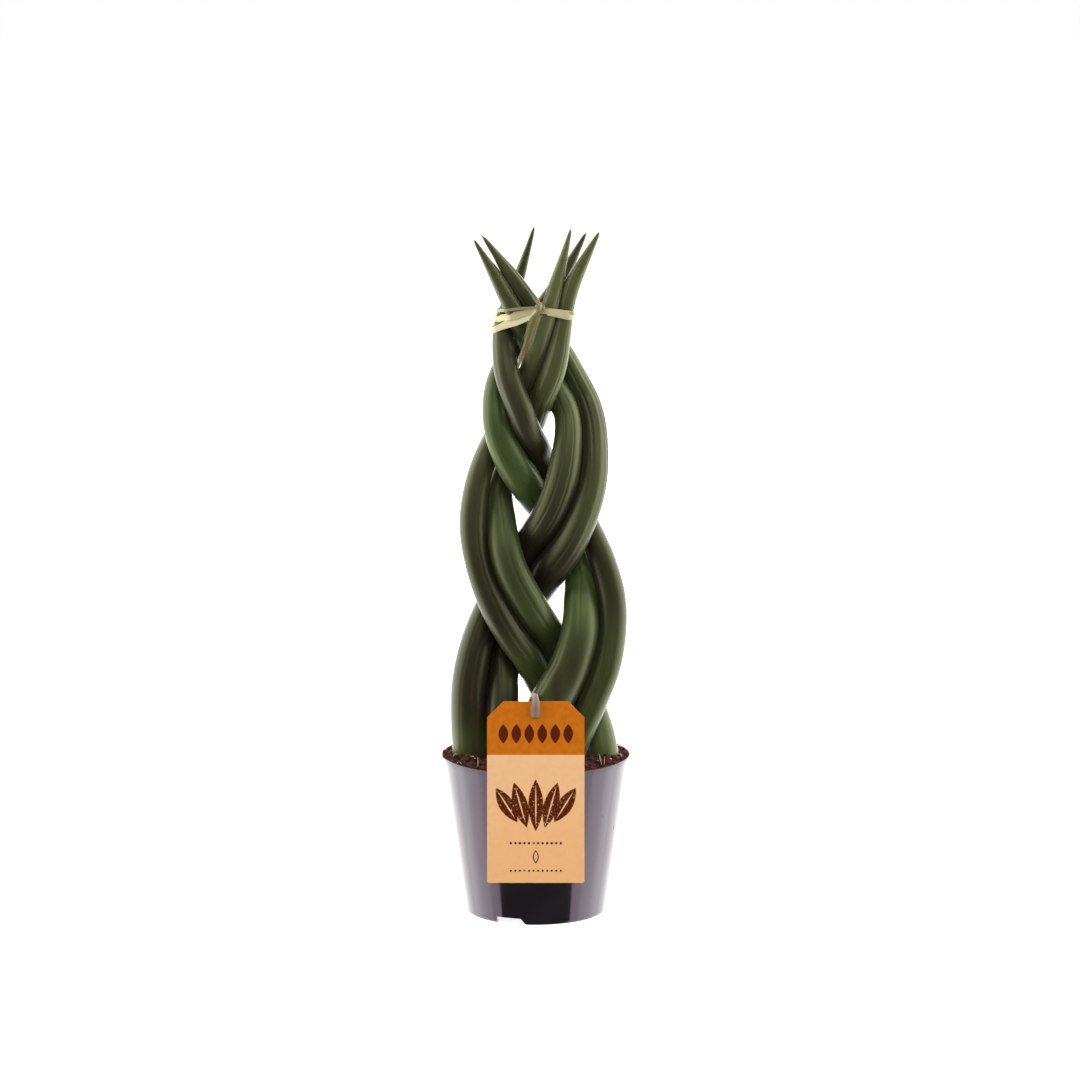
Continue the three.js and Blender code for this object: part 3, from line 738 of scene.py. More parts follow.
# %% The tree that makes a leaf
def leaf_tree():
    inputs = {
        "Sides": ("Int", LEAF_SIDES),
        "Steps": ("Int", LEAF_STEPS),
        "Depth": ("Float", LEAF_DEPTH),
        "Furrows": ("Float", FURROWS),
        "Furrow Depth": ("Float", FURROW_DEPTH),
        "Seed": ("Float", 0.0),
        "Tone": ("Float", 0.5),
        "Young": ("Float", 0.5),
        "Neighbours": ("Object", None),
        "Material": ("Material", None),
    }
    tree, given = new_tree("leaf_skin", inputs)
    rough = wire(tree, "GeometryNodeMeshToCurve", {"Mesh": given["Geometry"]})
    spline = wire(tree, "GeometryNodeCurveSplineType", {"Curve": rough}, spline_type="CATMULL_ROM")
    line = wire(tree, "GeometryNodeSetSplineResolution", {"Geometry": spline, "Resolution": 10})
    tube, round_x, round_y, share = unit_tube(tree, given)
    sample = node(
        tree,
        "GeometryNodeSampleCurve",
        {"Curves": line, "Factor": share, "Value": point_value(tree, "half_width")},
        data_type="FLOAT",
        mode="FACTOR",
    )
    half, middle, travel = [Wire(tree, sample.outputs[i]) for i in ("Value", "Position", "Tangent")]
    aside = wire(tree, "ShaderNodeCombineXYZ", {1: 1.0})
    across = vector_math("NORMALIZE", vector_math("CROSS_PRODUCT", aside, travel))
    out = vector_math("CROSS_PRODUCT", travel, across)
    length = wire(tree, "GeometryNodeCurveLength", {"Curve": line})
    run = length * share

    angle = round_y.math("ARCTAN2", round_x)
    ring_place = vector_of(tree, round_x + given["Seed"], round_y + given["Seed"], run * FURROW_RUN)
    drift = (noise(ring_place, 0.9, 1) - 0.5) * FURROW_DRIFT
    wave = ((angle + drift) * given["Furrows"]).math("COSINE") * 0.5 + 0.5
    furrow = wave.math("POWER", FURROW_SHARPNESS)
    uneven = noise(ring_place, 1.7, 1).ramp(0.38, 0.62)
    thick = half.ramp(*SLENDER)
    depth = furrow * uneven * thick * given["Furrow Depth"]
    swell = (noise(ring_place, 1.1, 1) - 0.5) * half * SWELL
    radius = half + swell - depth
    shift_x = scaled(across, round_x * radius)
    shift_y = scaled(out, round_y * radius * given["Depth"])
    shift = vector_math("ADD", shift_x, shift_y)
    moved = vector_math("ADD", middle, shift)
    others = wire(tree, "GeometryNodeObjectInfo", {0: given["Neighbours"]}, output=4)
    search = {0: others, "Sample Position": moved}
    gap = wire(tree, "GeometryNodeProximity", search, output=1, target_element="FACES")
    press = gap.ramp(*PRESS_REACH) * (gap * 0.5 + PRESS_OVERLAP)
    pressed = vector_math("ADD", moved, scaled(vector_math("NORMALIZE", shift), press))
    body = wire(tree, "GeometryNodeSetPosition", {"Geometry": tube, "Position": pressed})

    place = vector_of(tree, round_x * half + given["Seed"], round_y * half, run)
    body = stored(body, "leaf_place", "FLOAT_VECTOR", place)
    body = stored(body, "furrow", "FLOAT", furrow * uneven)
    body = stored(body, "from_tip", "FLOAT", length - run)
    body = stored(body, "tone", "FLOAT", given["Tone"])
    body = stored(body, "young", "FLOAT", given["Young"])
    # How near the next leaf is: it paints shade into the crevice and roughens the skin there.
    body = stored(body, "near", "FLOAT", gap.ramp(CREVICE_REACH, 0.0) * thick)
    return close_tree(body, given["Material"])


LEAF_TREE = leaf_tree()
print("leaf tree nodes:", len(LEAF_TREE.nodes))

# %% How the six leaves differ
# For each leaf: how olive it is, and how pale its young tip is.
LEAF_LOOKS = {
    "leaf_left_outer": (0.75, 0.35),
    "leaf_left_inner": (0.45, 0.35),
    "leaf_back_inner": (0.35, 0.15),
    "leaf_back_outer": (0.6, 0.15),
    "leaf_right_inner": (0.9, 0.85),
    "leaf_right_outer": (0.55, 0.55),
}
# Where a leaf leans a little on its neighbour: its name, the height, how far to the right
# it moves there, and how far above and below the move fades out.
LEANS = [
    ("leaf_left_inner", 338, -1.1, 16),
    ("leaf_back_outer", 307, -1, 14),
    ("leaf_back_outer", 286, -0.8, 12),
    ("leaf_right_outer", 268, -1.4, 22),
    ("leaf_back_inner", 219, 1.5, 22),
    ("leaf_left_inner", 168, -1.4, 20),
    ("leaf_right_outer", 165, -1.5, 16),
]
print("leaves:", len(LEAF_LOOKS), "and places where one leans:", len(LEANS))

# %% The six leaves
FIRST_SEED = 0.4
SEED_STEP = 1.7


def neighbours_of(name):
    """The five other packed leaves as one shape."""
    others = bmesh.new()
    for other in LEAF_LOOKS:
        if other != name:
            others.from_mesh(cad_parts[other].data)
    return piece_from("neighbours", others)


def lean(name, line):
    """Moves a leaf's middle line sideways where it leans on a neighbour."""
    for leaf_name, height, shift, reach in LEANS:
        if leaf_name == name:
            for point, _ in line:
                share = max(0.0, 1 - ((point.z / MM - height) / reach) ** 2)
                point.x += shift * MM * share**2


def make_leaf(name, seed, looks):
    line = leaf_rings(name)
    lean(name, line)
    others = neighbours_of(name)
    points = [point for point, _ in line]
    leaf = new_piece(name + "_skin", points, [(i, i + 1) for i in range(len(line) - 1)])
    half_width = leaf.data.attributes.new("half_width", "FLOAT", "POINT")
    for i, (_, half) in enumerate(line):
        half_width.data[i].value = half
    tone, young = looks
    values = {"Seed": seed, "Tone": tone, "Young": young, "Neighbours": others, "Material": LEAF}
    grown(leaf, LEAF_TREE, values)
    bpy.data.objects.remove(others)
    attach(leaf, "root")
    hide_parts(name)
    print(leaf.name, "follows", len(line), "rings, faces:", len(leaf.data.polygons))
    return leaf


leaves = [
    make_leaf(name, FIRST_SEED + SEED_STEP * i, looks)
    for i, (name, looks) in enumerate(LEAF_LOOKS.items())
]
print("leaves made:", len(leaves))

# %% The dry thread at one leaf's tip
# Its places are in millimetres.
THREAD = [(-32.4, -6, 426.4), (-33.2, -6.1, 427.4), (-33.8, -6.2, 428.4), (-33.7, -6.2, 429.3)]
THREAD_WIDTHS = [0.9 * MM, 0.5 * MM, 0.35 * MM, 0.15 * MM]
THREAD_DARK = (0.10, 0.05, 0.03, 1)
THREAD_PALE = (0.22, 0.12, 0.08, 1)


def leaf_thread():
    material, tree, surface = new_material("dry_tip", Roughness=0.6)
    tint = noise(place_on_object(tree), 900, 2).ramp(0.35, 0.65)
    dress(surface, Base_Color=mixed(tint, THREAD_DARK, THREAD_PALE))
    points = [Vector(p) * MM for p in THREAD]
    thread = raffia_strip(
        "leaf_thread", points, THREAD_WIDTHS, RIGHT, seed=7.0, count=12, material=material,
        Steps=12, Sides=8, Pleat=0.0, Thickness=0.4 * MM,
    )
    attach(thread, "root")
    return thread


thread = leaf_thread()
print("thread faces:", len(thread.data.polygons))

# %% [markdown]
# ## The pot
# A nursery pot is one thin sheet of black plastic, drawn into a mould, so its wall is
# straight, its rim is plain and rounded, and its foot ring has notches that let the water
# out. It could be modelled face by face, but it is round, so a revolved outline gives the
# whole shell. The notches and drain holes are cut afterwards, as the trimming tool does.

# %% Pot sizes
POT_HEIGHT = 100 * MM
POT_RIM = 60 * MM
POT_FOOT = 45.5 * MM
POT_WALL = 1.3 * MM
POT_FOOT_RING = 2.4 * MM
POT_FLOOR = (5 * MM, 6.4 * MM)
POT_CORNER = 2 * MM
POT_UNDER_CORNER = (1.2 * MM, 0.8 * MM)
POT_SEGMENTS = 180
RING_INSIDE = 1 * MM
FOOT_CURVE = {"steps": 6, "width": 1.3 * MM, "inset": 1 * MM, "height": 2 * MM}
WALL_STATIONS = (0.05, 0.2, 0.4, 0.6, 0.8, 0.96)
LIP_STEPS = 8
NOTCH_ANGLES = (-112, 8, 128)
NOTCH = {"half": 8 * MM, "slant": 4 * MM, "from": -1 * MM, "height": 4 * MM, "cut": 12 * MM}
DRAIN = {"count": 8, "radius": 3.5 * MM, "ring": 32 * MM, "sides": 32, "depth": 20 * MM}
print("the pot is", POT_HEIGHT / MM, "mm tall")


# %% The pot's outline
def pot_wall(height):
    """How far the outside of the wall is from the axis at a height."""
    return POT_FOOT + (POT_RIM - POT_FOOT) * height / POT_HEIGHT


def pot_inside(height):
    return pot_wall(height) - POT_WALL


def lathe(name, outline, segments):
    """Revolves an outline that starts and ends on the axis. Its first point is the low one."""
    shape = bmesh.new()
    rings = []
    for radius, height in outline:
        if radius < NEARLY_NOTHING:
            rings.append([shape.verts.new((0, 0, height))] * segments)
            continue
        ring = []
        for j in range(segments):
            turn = math.tau * j / segments
            ring.append(shape.verts.new((radius * math.cos(turn), radius * math.sin(turn), height)))
        rings.append(ring)
    for low, high in zip(rings, rings[1:]):
        for j in range(segments):
            k = (j + 1) % segments
            corners = dict.fromkeys((low[j], low[k], high[k], high[j]))
            shape.faces.new(corners)
    return piece_from(name, shape)


def pot_outline():
    """The pot's section: under the floor, down the ring, up the wall, over the lip, down inside."""
    under, floor = POT_FLOOR
    inset, drop = POT_UNDER_CORNER
    outline = [(0, under), (pot_inside(under) - inset, under), (pot_inside(under), under - drop)]
    outline.append((POT_FOOT - POT_FOOT_RING, RING_INSIDE))
    outline.append((POT_FOOT - POT_FOOT_RING, 0))
    start = POT_FOOT - FOOT_CURVE["inset"]
    rise = FOOT_CURVE["height"]
    for step in range(FOOT_CURVE["steps"] + 1):
        turn = math.pi / 2 * step / FOOT_CURVE["steps"]
        across = start + FOOT_CURVE["width"] * math.sin(turn)
        outline.append((across, rise - rise * math.cos(turn)))
    for share in WALL_STATIONS:
        outline.append((pot_wall(POT_HEIGHT * share), POT_HEIGHT * share))
    lip = POT_WALL / 2
    for step in range(LIP_STEPS + 1):
        turn = math.pi * step / LIP_STEPS
        across = POT_RIM - lip + lip * math.cos(turn)
        outline.append((across, POT_HEIGHT - lip + lip * math.sin(turn)))
    outline.append((pot_inside(POT_HEIGHT * 0.5), POT_HEIGHT * 0.5))
    outline.append((pot_inside(floor + POT_CORNER), floor + POT_CORNER))
    outline.append((pot_inside(floor) - POT_CORNER, floor))
    outline.append((0, floor))
    return outline


print("points in the pot's outline:", len(pot_outline()))

# %% [markdown]
# ### The pot's finish
# The plastic is black and glossy, with a little haze and dust and a few dull scuffs where it
# has rubbed against other pots. Its colour hardly shows, because it mirrors the room. So the
# work goes into its roughness, which changes a little from place to place, and into a slight
# waviness, which makes the reflections look moulded.

# %% Pot finish
POT_BLACK = (0.0055, 0.0045, 0.0060, 1)
POT_BLOOM = (0.010, 0.0085, 0.0105, 1)
POT_DUST = (0.09, 0.08, 0.08, 1)
POT_FLOW = (24, 24, 7)
POT_RELIEF = 1.2 * MM
SCRATCHES = (420, 420, 45)
# For each scuff: how far right, how high, and half its length.
SCUFFS = [
    (33.5 * MM, 68 * MM, 1.6 * MM),
    (42 * MM, 57 * MM, 2.2 * MM),
    (-39 * MM, 74 * MM, 0.6 * MM),
]
SCUFF_EDGE = (0.45 * MM, 0.15 * MM)
SCUFF_SLANT = 0.12


def pot_material():
    material, tree, surface = new_material(
        "pot_plastic", IOR=1.5, Specular_IOR_Level=0.42, Specular_Tint=(1.0, 0.80, 0.98, 1)
    )
    place = place_on_object(tree)
    haze = noise(place, 38, 4)
    flow = noise(place, 1, 3, stretch=POT_FLOW)
    scratches = noise(place, 1, 2, stretch=SCRATCHES).ramp(0.70, 0.76)
    dust = noise(place, 900, 2).ramp(0.68, 0.8)
    x, y, z = parts(place)
    scuffs = []
    for scuff_x, scuff_z, height in SCUFFS:
        aside = (x - z * SCUFF_SLANT - scuff_x).math("ABSOLUTE").ramp(*SCUFF_EDGE)
        level = (z - scuff_z).math("ABSOLUTE").ramp(height, height * 0.5)
        scuffs.append(aside * level * y.math("LESS_THAN", 0.0))
    scuffed = scuffs[0] + scuffs[1] + scuffs[2]
    black = mixed(haze.ramp(0.4, 0.7), POT_BLACK, POT_BLOOM)
    dusty = mixed(dust * 0.25, black, POT_DUST)
    rough = haze.ramp(0.35, 0.75) * 0.07 + scratches * 0.12 + scuffed * 0.35 + 0.09
    relief = bump(flow, POT_RELIEF, strength=0.35)
    dress(surface, Base_Color=dusty, Roughness=rough, Normal=relief)
    return material


POT_PLASTIC = pot_material()
print("pot finish nodes:", len(POT_PLASTIC.node_tree.nodes))


# %% The tools that open the pot
def wedge(shape, turn):
    """The wedge that cuts one notch, turned about the pot's axis."""
    outline = [
        (-NOTCH["half"], NOTCH["from"]),
        (NOTCH["half"] + NOTCH["slant"], NOTCH["from"]),
        (NOTCH["half"], NOTCH["height"]),
        (-NOTCH["half"], NOTCH["height"]),
    ]
    sine, cosine = math.sin(turn), math.cos(turn)
    rows = []
    for depth in (-NOTCH["cut"] / 2, NOTCH["cut"] / 2):
        y = depth - POT_FOOT
        corners = [(x * cosine - y * sine, x * sine + y * cosine, z) for x, z in outline]
        rows.append([shape.verts.new(corner) for corner in corners])
    shape.faces.new(rows[0])
    shape.faces.new(rows[1][::-1])
    for j in range(len(outline)):
        k = (j + 1) % len(outline)
        shape.faces.new((rows[0][k], rows[0][j], rows[1][j], rows[1][k]))


def cutters():
    """The wedges and drills that open the pot, as one mesh."""
    shape = bmesh.new()
    for degrees in NOTCH_ANGLES:
        wedge(shape, math.radians(degrees + 90))
    for i in range(DRAIN["count"]):
        turn = math.tau * i / DRAIN["count"]
        made = bmesh.ops.create_cone(
            shape, cap_ends=True, segments=DRAIN["sides"], radius1=DRAIN["radius"],
            radius2=DRAIN["radius"], depth=DRAIN["depth"],
        )
        shift = (DRAIN["ring"] * math.cos(turn), DRAIN["ring"] * math.sin(turn), POT_FLOOR[1])
        bmesh.ops.translate(shape, verts=made["verts"], vec=shift)
    bmesh.ops.recalc_face_normals(shape, faces=shape.faces)
    return piece_from("cutters", shape)


print("notches:", len(NOTCH_ANGLES), "and drain holes:", DRAIN["count"])

# %% The pot
POT_SHARP = math.radians(35)


def make_pot():
    pot = lathe("pot_shell", pot_outline(), POT_SEGMENTS)
    tools = cutters()
    cut = pot.modifiers.new("openings", "BOOLEAN")
    cut.object = tools
    cut.operation = "DIFFERENCE"
    cut.solver = "EXACT"
    applied(pot)
    bpy.data.objects.remove(tools)
    pot.data.shade_smooth()
    pot.data.set_sharp_from_angle(angle=POT_SHARP)
    pot.data.materials.clear()
    pot.data.materials.append(POT_PLASTIC)
    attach(pot, "root")
    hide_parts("pot")
    return pot


pot = make_pot()
print("pot faces:", len(pot.data.polygons))

# %% [markdown]
# ## The soil
# Potting soil for succulents is coarse peat: brown crumbs of many sizes, bits of bark and
# thin pale roots. A bumpy disc alone looks like mud, because its outline is smooth. So a
# geometry tree lifts the surface in lumps and then scatters crumbs, clods and bits of bark
# on it, each a tiny real shape. They have few faces, because there are so many of them.

# %% Soil sizes
SOIL_EDGE = 99.4 * MM
SOIL_FLOOR = 6.7 * MM
SOIL_DOME = 1.6 * MM
SOIL_MIDDLE = 60 * MM
SOIL_CORNER = 2 * MM
SOIL_RINGS = 46
SOIL_SEGMENTS = 150


def soil_side(height):
    """How far the side of the soil is from the axis at a height, a hair inside the pot."""
    return pot_wall(height) - (POT_WALL + AIR)


def soil_outline():
    """The soil's section: its floor, its side and its slightly domed top."""
    outline = [(0, SOIL_FLOOR), (soil_side(SOIL_FLOOR) - SOIL_CORNER, SOIL_FLOOR)]
    for height in (SOIL_FLOOR + SOIL_CORNER, SOIL_MIDDLE, SOIL_EDGE - SOIL_CORNER):
        outline.append((soil_side(height), height))
    top = soil_side(SOIL_EDGE)
    for i in range(SOIL_RINGS, -1, -1):
        share = i / SOIL_RINGS
        outline.append((top * share, SOIL_EDGE + SOIL_DOME * (1 - share**2)))
    return outline


print("points in the soil's outline:", len(soil_outline()))

# %% [markdown]
# ### The soil's finish
# Moist peat is dark red-brown, lighter on its crumbs, with pale specks, and shade is painted
# nearly black into the hollows of its bumps.
# One colour for all would melt the crumbs together. So each gets a shade of its own, which
# the tree below stores on it. The roots run from light brown to cream.

# %% Soil and root finishes
PEAT_DARK = (0.012, 0.004, 0.003, 1)
PEAT_BROWN = (0.045, 0.016, 0.011, 1)
PEAT_CRUMB = (0.088, 0.026, 0.019, 1)
PEAT_SPECK = (0.28, 0.13, 0.11, 1)
PEAT_RELIEF = 0.7 * MM
ROOT_BROWN = (0.42, 0.27, 0.17, 1)
ROOT_PALE = (0.78, 0.66, 0.52, 1)


def soil_material():
    material, tree, surface = new_material("peat", Roughness=0.92, Specular_IOR_Level=0.08)
    place = place_on_object(tree)
    shade = amount_attribute(tree, "shade")
    grain = noise(place, 1400, 3)
    clods = noise(place, 260, 3)
    # The clods noise also lifts the bump, so its hollows get painted shade, nearly black.
    dark = mixed(clods.ramp(0.35, 0.65), PEAT_DARK, PEAT_BROWN)
    crumb = mixed(shade.ramp(0.2, 1.0), dark, PEAT_CRUMB)
    speck = mixed(grain.ramp(0.60, 0.74) * 0.6, crumb, PEAT_SPECK)
    dress(surface, Base_Color=speck, Normal=bump(grain + clods, PEAT_RELIEF))
    return material


def root_material():
    material, tree, surface = new_material("root_hair", Roughness=0.6)
    tint = noise(place_on_object(tree), 300, 2).ramp(0.35, 0.65)
    dress(surface, Base_Color=mixed(tint, ROOT_BROWN, ROOT_PALE))
    return material


SOIL = soil_material()
ROOT = root_material()
print("soil finishes:", SOIL.name, "and", ROOT.name)

# %% What lies on the soil
# For each kind: how many to a square metre, how far apart, a seed for their places, how far
# they tilt, their sizes, and for their form a starting place in the noise and a roughness.
LITTER = {
    "Crumb": {
        "density": 160000.0, "apart": 1.6 * MM, "seed": 11, "tilt": 0.6,
        "sizes": (0.5 * MM, 1.4 * MM), "form": 3.0, "rough": 1.3,
    },
    "Clod": {
        "density": 30000.0, "apart": 4 * MM, "seed": 23, "tilt": 0.9,
        "sizes": (1.4 * MM, 2.9 * MM), "form": 8.0, "rough": 1.5,
    },
    "Bark": {
        "density": 20000.0, "apart": 5 * MM, "seed": 31, "tilt": 1.2,
        "sizes": (0.5 * MM, 1.2 * MM), "form": 5.0, "rough": 0.7,
    },
}
# A piece is about as long as its size, narrower across, and flatter still in its height.
NARROW = (0.7, 0.8)
FLAT = (0.5, 0.7)


def random_number(tree, low, high, seed):
    inputs = {2: low, 3: high, "Seed": seed}
    return wire(tree, "FunctionNodeRandomValue", inputs, output=1, data_type="FLOAT")


def litter_shape(tree, kind):
    """A lump of a few faces, knocked out of round."""
    ball = wire(tree, "GeometryNodeMeshIcoSphere", {"Radius": 1.0, "Subdivisions": 2})
    corner = wire(tree, "GeometryNodeInputPosition")
    place = vector_math("ADD", corner, (kind["form"], 0.0, 0.0))
    knock = scaled(corner, (noise(place, 1.6, 1) - 0.5) * kind["rough"])
    return wire(tree, "GeometryNodeSetPosition", {"Geometry": ball, "Offset": knock})


def scattered(surface, selection, density, kind):
    """Copies of a small shape on a surface, turned and sized at random."""
    tree = surface.tree
    seed, tilt = kind["seed"], kind["tilt"]
    small, large = kind["sizes"]
    spread = {
        "Mesh": surface, "Selection": selection, "Distance Min": kind["apart"],
        "Density Max": density, "Seed": seed,
    }
    spots = wire(tree, "GeometryNodeDistributePointsOnFaces", spread, distribute_method="POISSON")
    turns = {0: (-tilt, -tilt, 0.0), 1: (tilt, tilt, math.tau), "Seed": seed + 1}
    spin = wire(tree, "FunctionNodeRandomValue", turns, data_type="FLOAT_VECTOR")
    size = vector_of(
        tree,
        random_number(tree, small, large, seed + 2),
        random_number(tree, small * NARROW[0], large * NARROW[1], seed + 3),
        random_number(tree, small * FLAT[0], large * FLAT[1], seed + 4),
    )
    shape = litter_shape(tree, kind)
    laid = {"Points": spots, "Instance": shape, "Rotation": spin, "Scale": size}
    copies = wire(tree, "GeometryNodeInstanceOnPoints", laid)
    shades = {"Geometry": copies, "Name": "shade", "Value": random_number(tree, 0.0, 1.0, seed + 5)}
    return wire(tree, "GeometryNodeStoreNamedAttribute", shades, data_type="FLOAT", domain="INSTANCE")


print("kinds of litter:", ", ".join(LITTER))

# %% The tree that makes the soil
SOIL_LUMP = 4.4 * MM
LUMP_LEVEL = 0.45
TOP_BAND = 1 * MM
# Lumps fade out towards the rim, and nothing is strewn nearer to it than the last figure.
LUMPS_FROM_RIM = (1.8 * MM, 8 * MM)
LITTER_FROM_RIM = 2.6 * MM


def soil_tree():
    inputs = {"Lump": ("Float", SOIL_LUMP), "Material": ("Material", None)}
    for name, kind in LITTER.items():
        inputs[name + " Density"] = ("Float", kind["density"])
    tree, given = new_tree("soil_surface", inputs)
    here = wire(tree, "GeometryNodeInputPosition")
    x, y, z = parts(here)
    on_top = z.ramp(SOIL_EDGE - TOP_BAND, SOIL_EDGE)
    from_axis = (x * x + y * y).math("SQRT")
    away = from_axis.ramp(POT_RIM - LUMPS_FROM_RIM[0], POT_RIM - LUMPS_FROM_RIM[1])
    height = (noise(here, 130, 3) - LUMP_LEVEL) * given["Lump"] * on_top * away
    lifted = vector_of(tree, 0.0, 0.0, height)
    ground = wire(tree, "GeometryNodeSetPosition", {"Geometry": given["Geometry"], "Offset": lifted})
    clear = from_axis.math("LESS_THAN", POT_RIM - LITTER_FROM_RIM)
    inside = clear * on_top.math("GREATER_THAN", 0.5)
    whole = node(tree, "GeometryNodeJoinGeometry", {0: ground})
    for name, kind in LITTER.items():
        litter = scattered(ground, inside, given[name + " Density"], kind)
        tree.links.new(litter.socket, whole.inputs[0])
    return close_tree(Wire(tree, whole.outputs[0]), given["Material"])


SOIL_TREE = soil_tree()
print("soil tree nodes:", len(SOIL_TREE.nodes))

# %% The soil
soil = grown(lathe("soil_ground", soil_outline(), SOIL_SEGMENTS), SOIL_TREE, {"Material": SOIL})
print("ground faces:", len(soil.data.polygons))

# %% [markdown]
# ## Root hairs
# Fine pale roots stick out of the peat where the plant was pressed into its pot. A particle
# system could grow them, but two dozen are enough, and each is one more thin strip that
# leaves the ground, bends over and comes down again. Three more stand upright in front.

# %% Root hairs
HAIR_COUNT = 24
HAIR_THICKNESS = 0.3 * MM
HAIR_SEED = 12
HAIR_ZONE = (0.75, 0.93)
HAIR_RISE = (0.6, 2.2)
HAIR_REACH = (2, 4.5)
HAIR_BEND = 0.2
ABOVE_SOIL = 0.2
# For each upright hair: how far right, how far back, and how tall, in millimetres.
SHOWN_HAIRS = [(-36, -42.5, 6), (41, -37.5, 7), (42.5, -36.5, 5)]


def soil_height(surface, x, y):
    """Where the soil is met, coming straight down."""
    return surface.ray_cast(Vector((x, y, ABOVE_SOIL)), UP * -1)[0].z


def root_hair(surface, chance, x, y, rise):
    """A thin arch that starts and ends in the ground."""
    turn = chance.uniform(0, math.tau)
    reach = Vector((math.cos(turn), math.sin(turn), 0)) * chance.uniform(*HAIR_REACH) * MM
    foot = Vector((x, y, soil_height(surface, x, y) - 0.3 * MM))
    bend = reach.cross(UP) * chance.uniform(-HAIR_BEND, HAIR_BEND)
    points = [
        foot,
        foot + reach * 0.3 + UP * rise * 0.75,
        foot + reach * 0.8 + bend + UP * rise,
        foot + reach * 1.3 + bend * 1.5 + UP * rise * 0.35,
    ]
    widths = [HAIR_THICKNESS * share for share in (1, 1, 0.8, 0.4)]
    return raffia_strip(
        "root_hair", points, widths, RIGHT, seed=chance.uniform(0, 9), count=12, material=ROOT,
        Steps=14, Sides=6, Pleat=0.0, Thickness=HAIR_THICKNESS,
    )


def standing_hair(surface, chance, x, y, rise):
    """A straight hair that stands up out of the ground and leans a little."""
    foot = Vector((x, y, soil_height(surface, x, y) - 0.5 * MM))
    top = foot + Vector((chance.uniform(-0.2, 0.2), chance.uniform(-0.1, 0.1), 1)) * rise
    bent = foot.lerp(top, 0.6) + Vector((chance.uniform(-0.3, 0.3) * MM, 0, 0))
    widths = [HAIR_THICKNESS * share for share in (1.2, 1, 0.5)]
    return raffia_strip(
        "root_hair", [foot, bent, top], widths, RIGHT, seed=chance.uniform(0, 9), count=10,
        material=ROOT, Steps=10, Sides=6, Pleat=0.0, Thickness=HAIR_THICKNESS,
    )


print("arched root hairs:", HAIR_COUNT, "and upright ones:", len(SHOWN_HAIRS))


# %% The soil with its root hairs
def root_hairs():
    shape = bmesh.new()
    shape.from_mesh(soil.data)
    surface = BVHTree.FromBMesh(shape)
    shape.free()
    chance = random.Random(HAIR_SEED)
    hairs = [
        standing_hair(surface, chance, x * MM, y * MM, rise * MM) for x, y, rise in SHOWN_HAIRS
    ]
    for _ in range(HAIR_COUNT):
        turn = chance.uniform(0, math.tau)
        radius = chance.uniform(*HAIR_ZONE) * POT_RIM
        rise = chance.uniform(*HAIR_RISE) * MM
        x, y = radius * math.cos(turn), radius * math.sin(turn)
        hairs.append(root_hair(surface, chance, x, y, rise))
    return hairs


soil = joined("soil_peat", [soil, *root_hairs()])
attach(soil, "root")
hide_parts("soil")
print("soil faces:", len(soil.data.polygons))

# %% [markdown]
# ## The tie
# The bundle is held near its tips by raffia. It goes round twice, once broad, with a fold
# that shows as a second band, and once narrow. It is knotted in front and ends in a short
# stub above and a long tapered tail below. Cloth simulation could pull it tight, but a
# pulled strip always lies on the convex outline of what it binds. So each wrap is the
# outline of the leaf surfaces at its own height, let out by the strip's thickness.

# %% Tie sizes
TIE_KNOT = {"x": 2.5 * MM, "z": 384 * MM, "radius": 2.8 * MM}
# Each wrap's heights at the left side, at the right side and at the knot, how much higher it
# runs away from the knot, how far it lies off the leaves, and its widths from end to end,
# all in millimetres.
WRAPS = [
    {
        "left": 368.5, "right": 378.5, "knot": 382.3, "lift": 0, "out": 0.75, "seed": 2, "age": -0.1,
        "widths": (4.4, 5.6, 5.4, 5, 4.8, 4.6, 4.6, 4.6, 4.4, 3.8, 6.4, 6, 3),
    },
    {
        "left": 375, "right": 378.5, "knot": 382.3, "lift": 0, "out": 0.45, "seed": 1, "age": 0,
        "widths": (3, 3, 3, 3, 3, 3, 3, 3, 3, 4, 4.8, 3.6, 2.4),
    },
    {
        "left": 379.5, "right": 379.2, "knot": 384, "lift": 0.8, "out": 0.8, "seed": 4, "age": 0.6,
        "widths": (1.4, 2, 2, 2, 2, 2, 2, 2, 2, 2, 1.8, 1.6, 1.4),
    },
]
PINCH_REACH = 12 * MM
TIE_LEVEL = 376 * MM
TIE_REACH = 6 * MM
LEAF_REACH = 20 * MM

leaf_points = [v.co.copy() for leaf in leaves for v in leaf.data.vertices]
leaf_points = [p for p in leaf_points if abs(p.z - TIE_KNOT["z"]) < LEAF_REACH]
bundle_left = min(p.x for p in leaf_points if abs(p.z - TIE_LEVEL) < TIE_REACH)
bundle_right = max(p.x for p in leaf_points if abs(p.z - TIE_LEVEL) < TIE_REACH)
print("the bundle is", round((bundle_right - bundle_left) / MM, 1), "mm across at the tie")

# %% The way of a wrap
BEFORE_KNOT = Vector((TIE_KNOT["x"], -0.05, 0))
WRAP_STEP = 2 * MM
SMOOTHINGS = 3


def slope(start, end, share):
    """A height on a straight line between two, and level beyond its ends."""
    return start + (end - start) * max(0.0, min(1.0, share))


def wrap_height(wrap, x, in_front):
    """Up to the knot in front, straight from side to side behind."""
    left, right, knot, knot_x = wrap["left"], wrap["right"], wrap["knot"], TIE_KNOT["x"]
    if not in_front:
        level = slope(left, right, (x - bundle_left) / (bundle_right - bundle_left))
    elif x < knot_x:
        level = slope(left, knot, (x - bundle_left) / (knot_x - bundle_left))
    else:
        level = slope(knot, right, (x - knot_x) / (bundle_right - knot_x))
    pinch = min(1.0, abs(x - knot_x) / PINCH_REACH) if in_front else 1.0
    return (level + wrap["lift"] * pinch) * MM


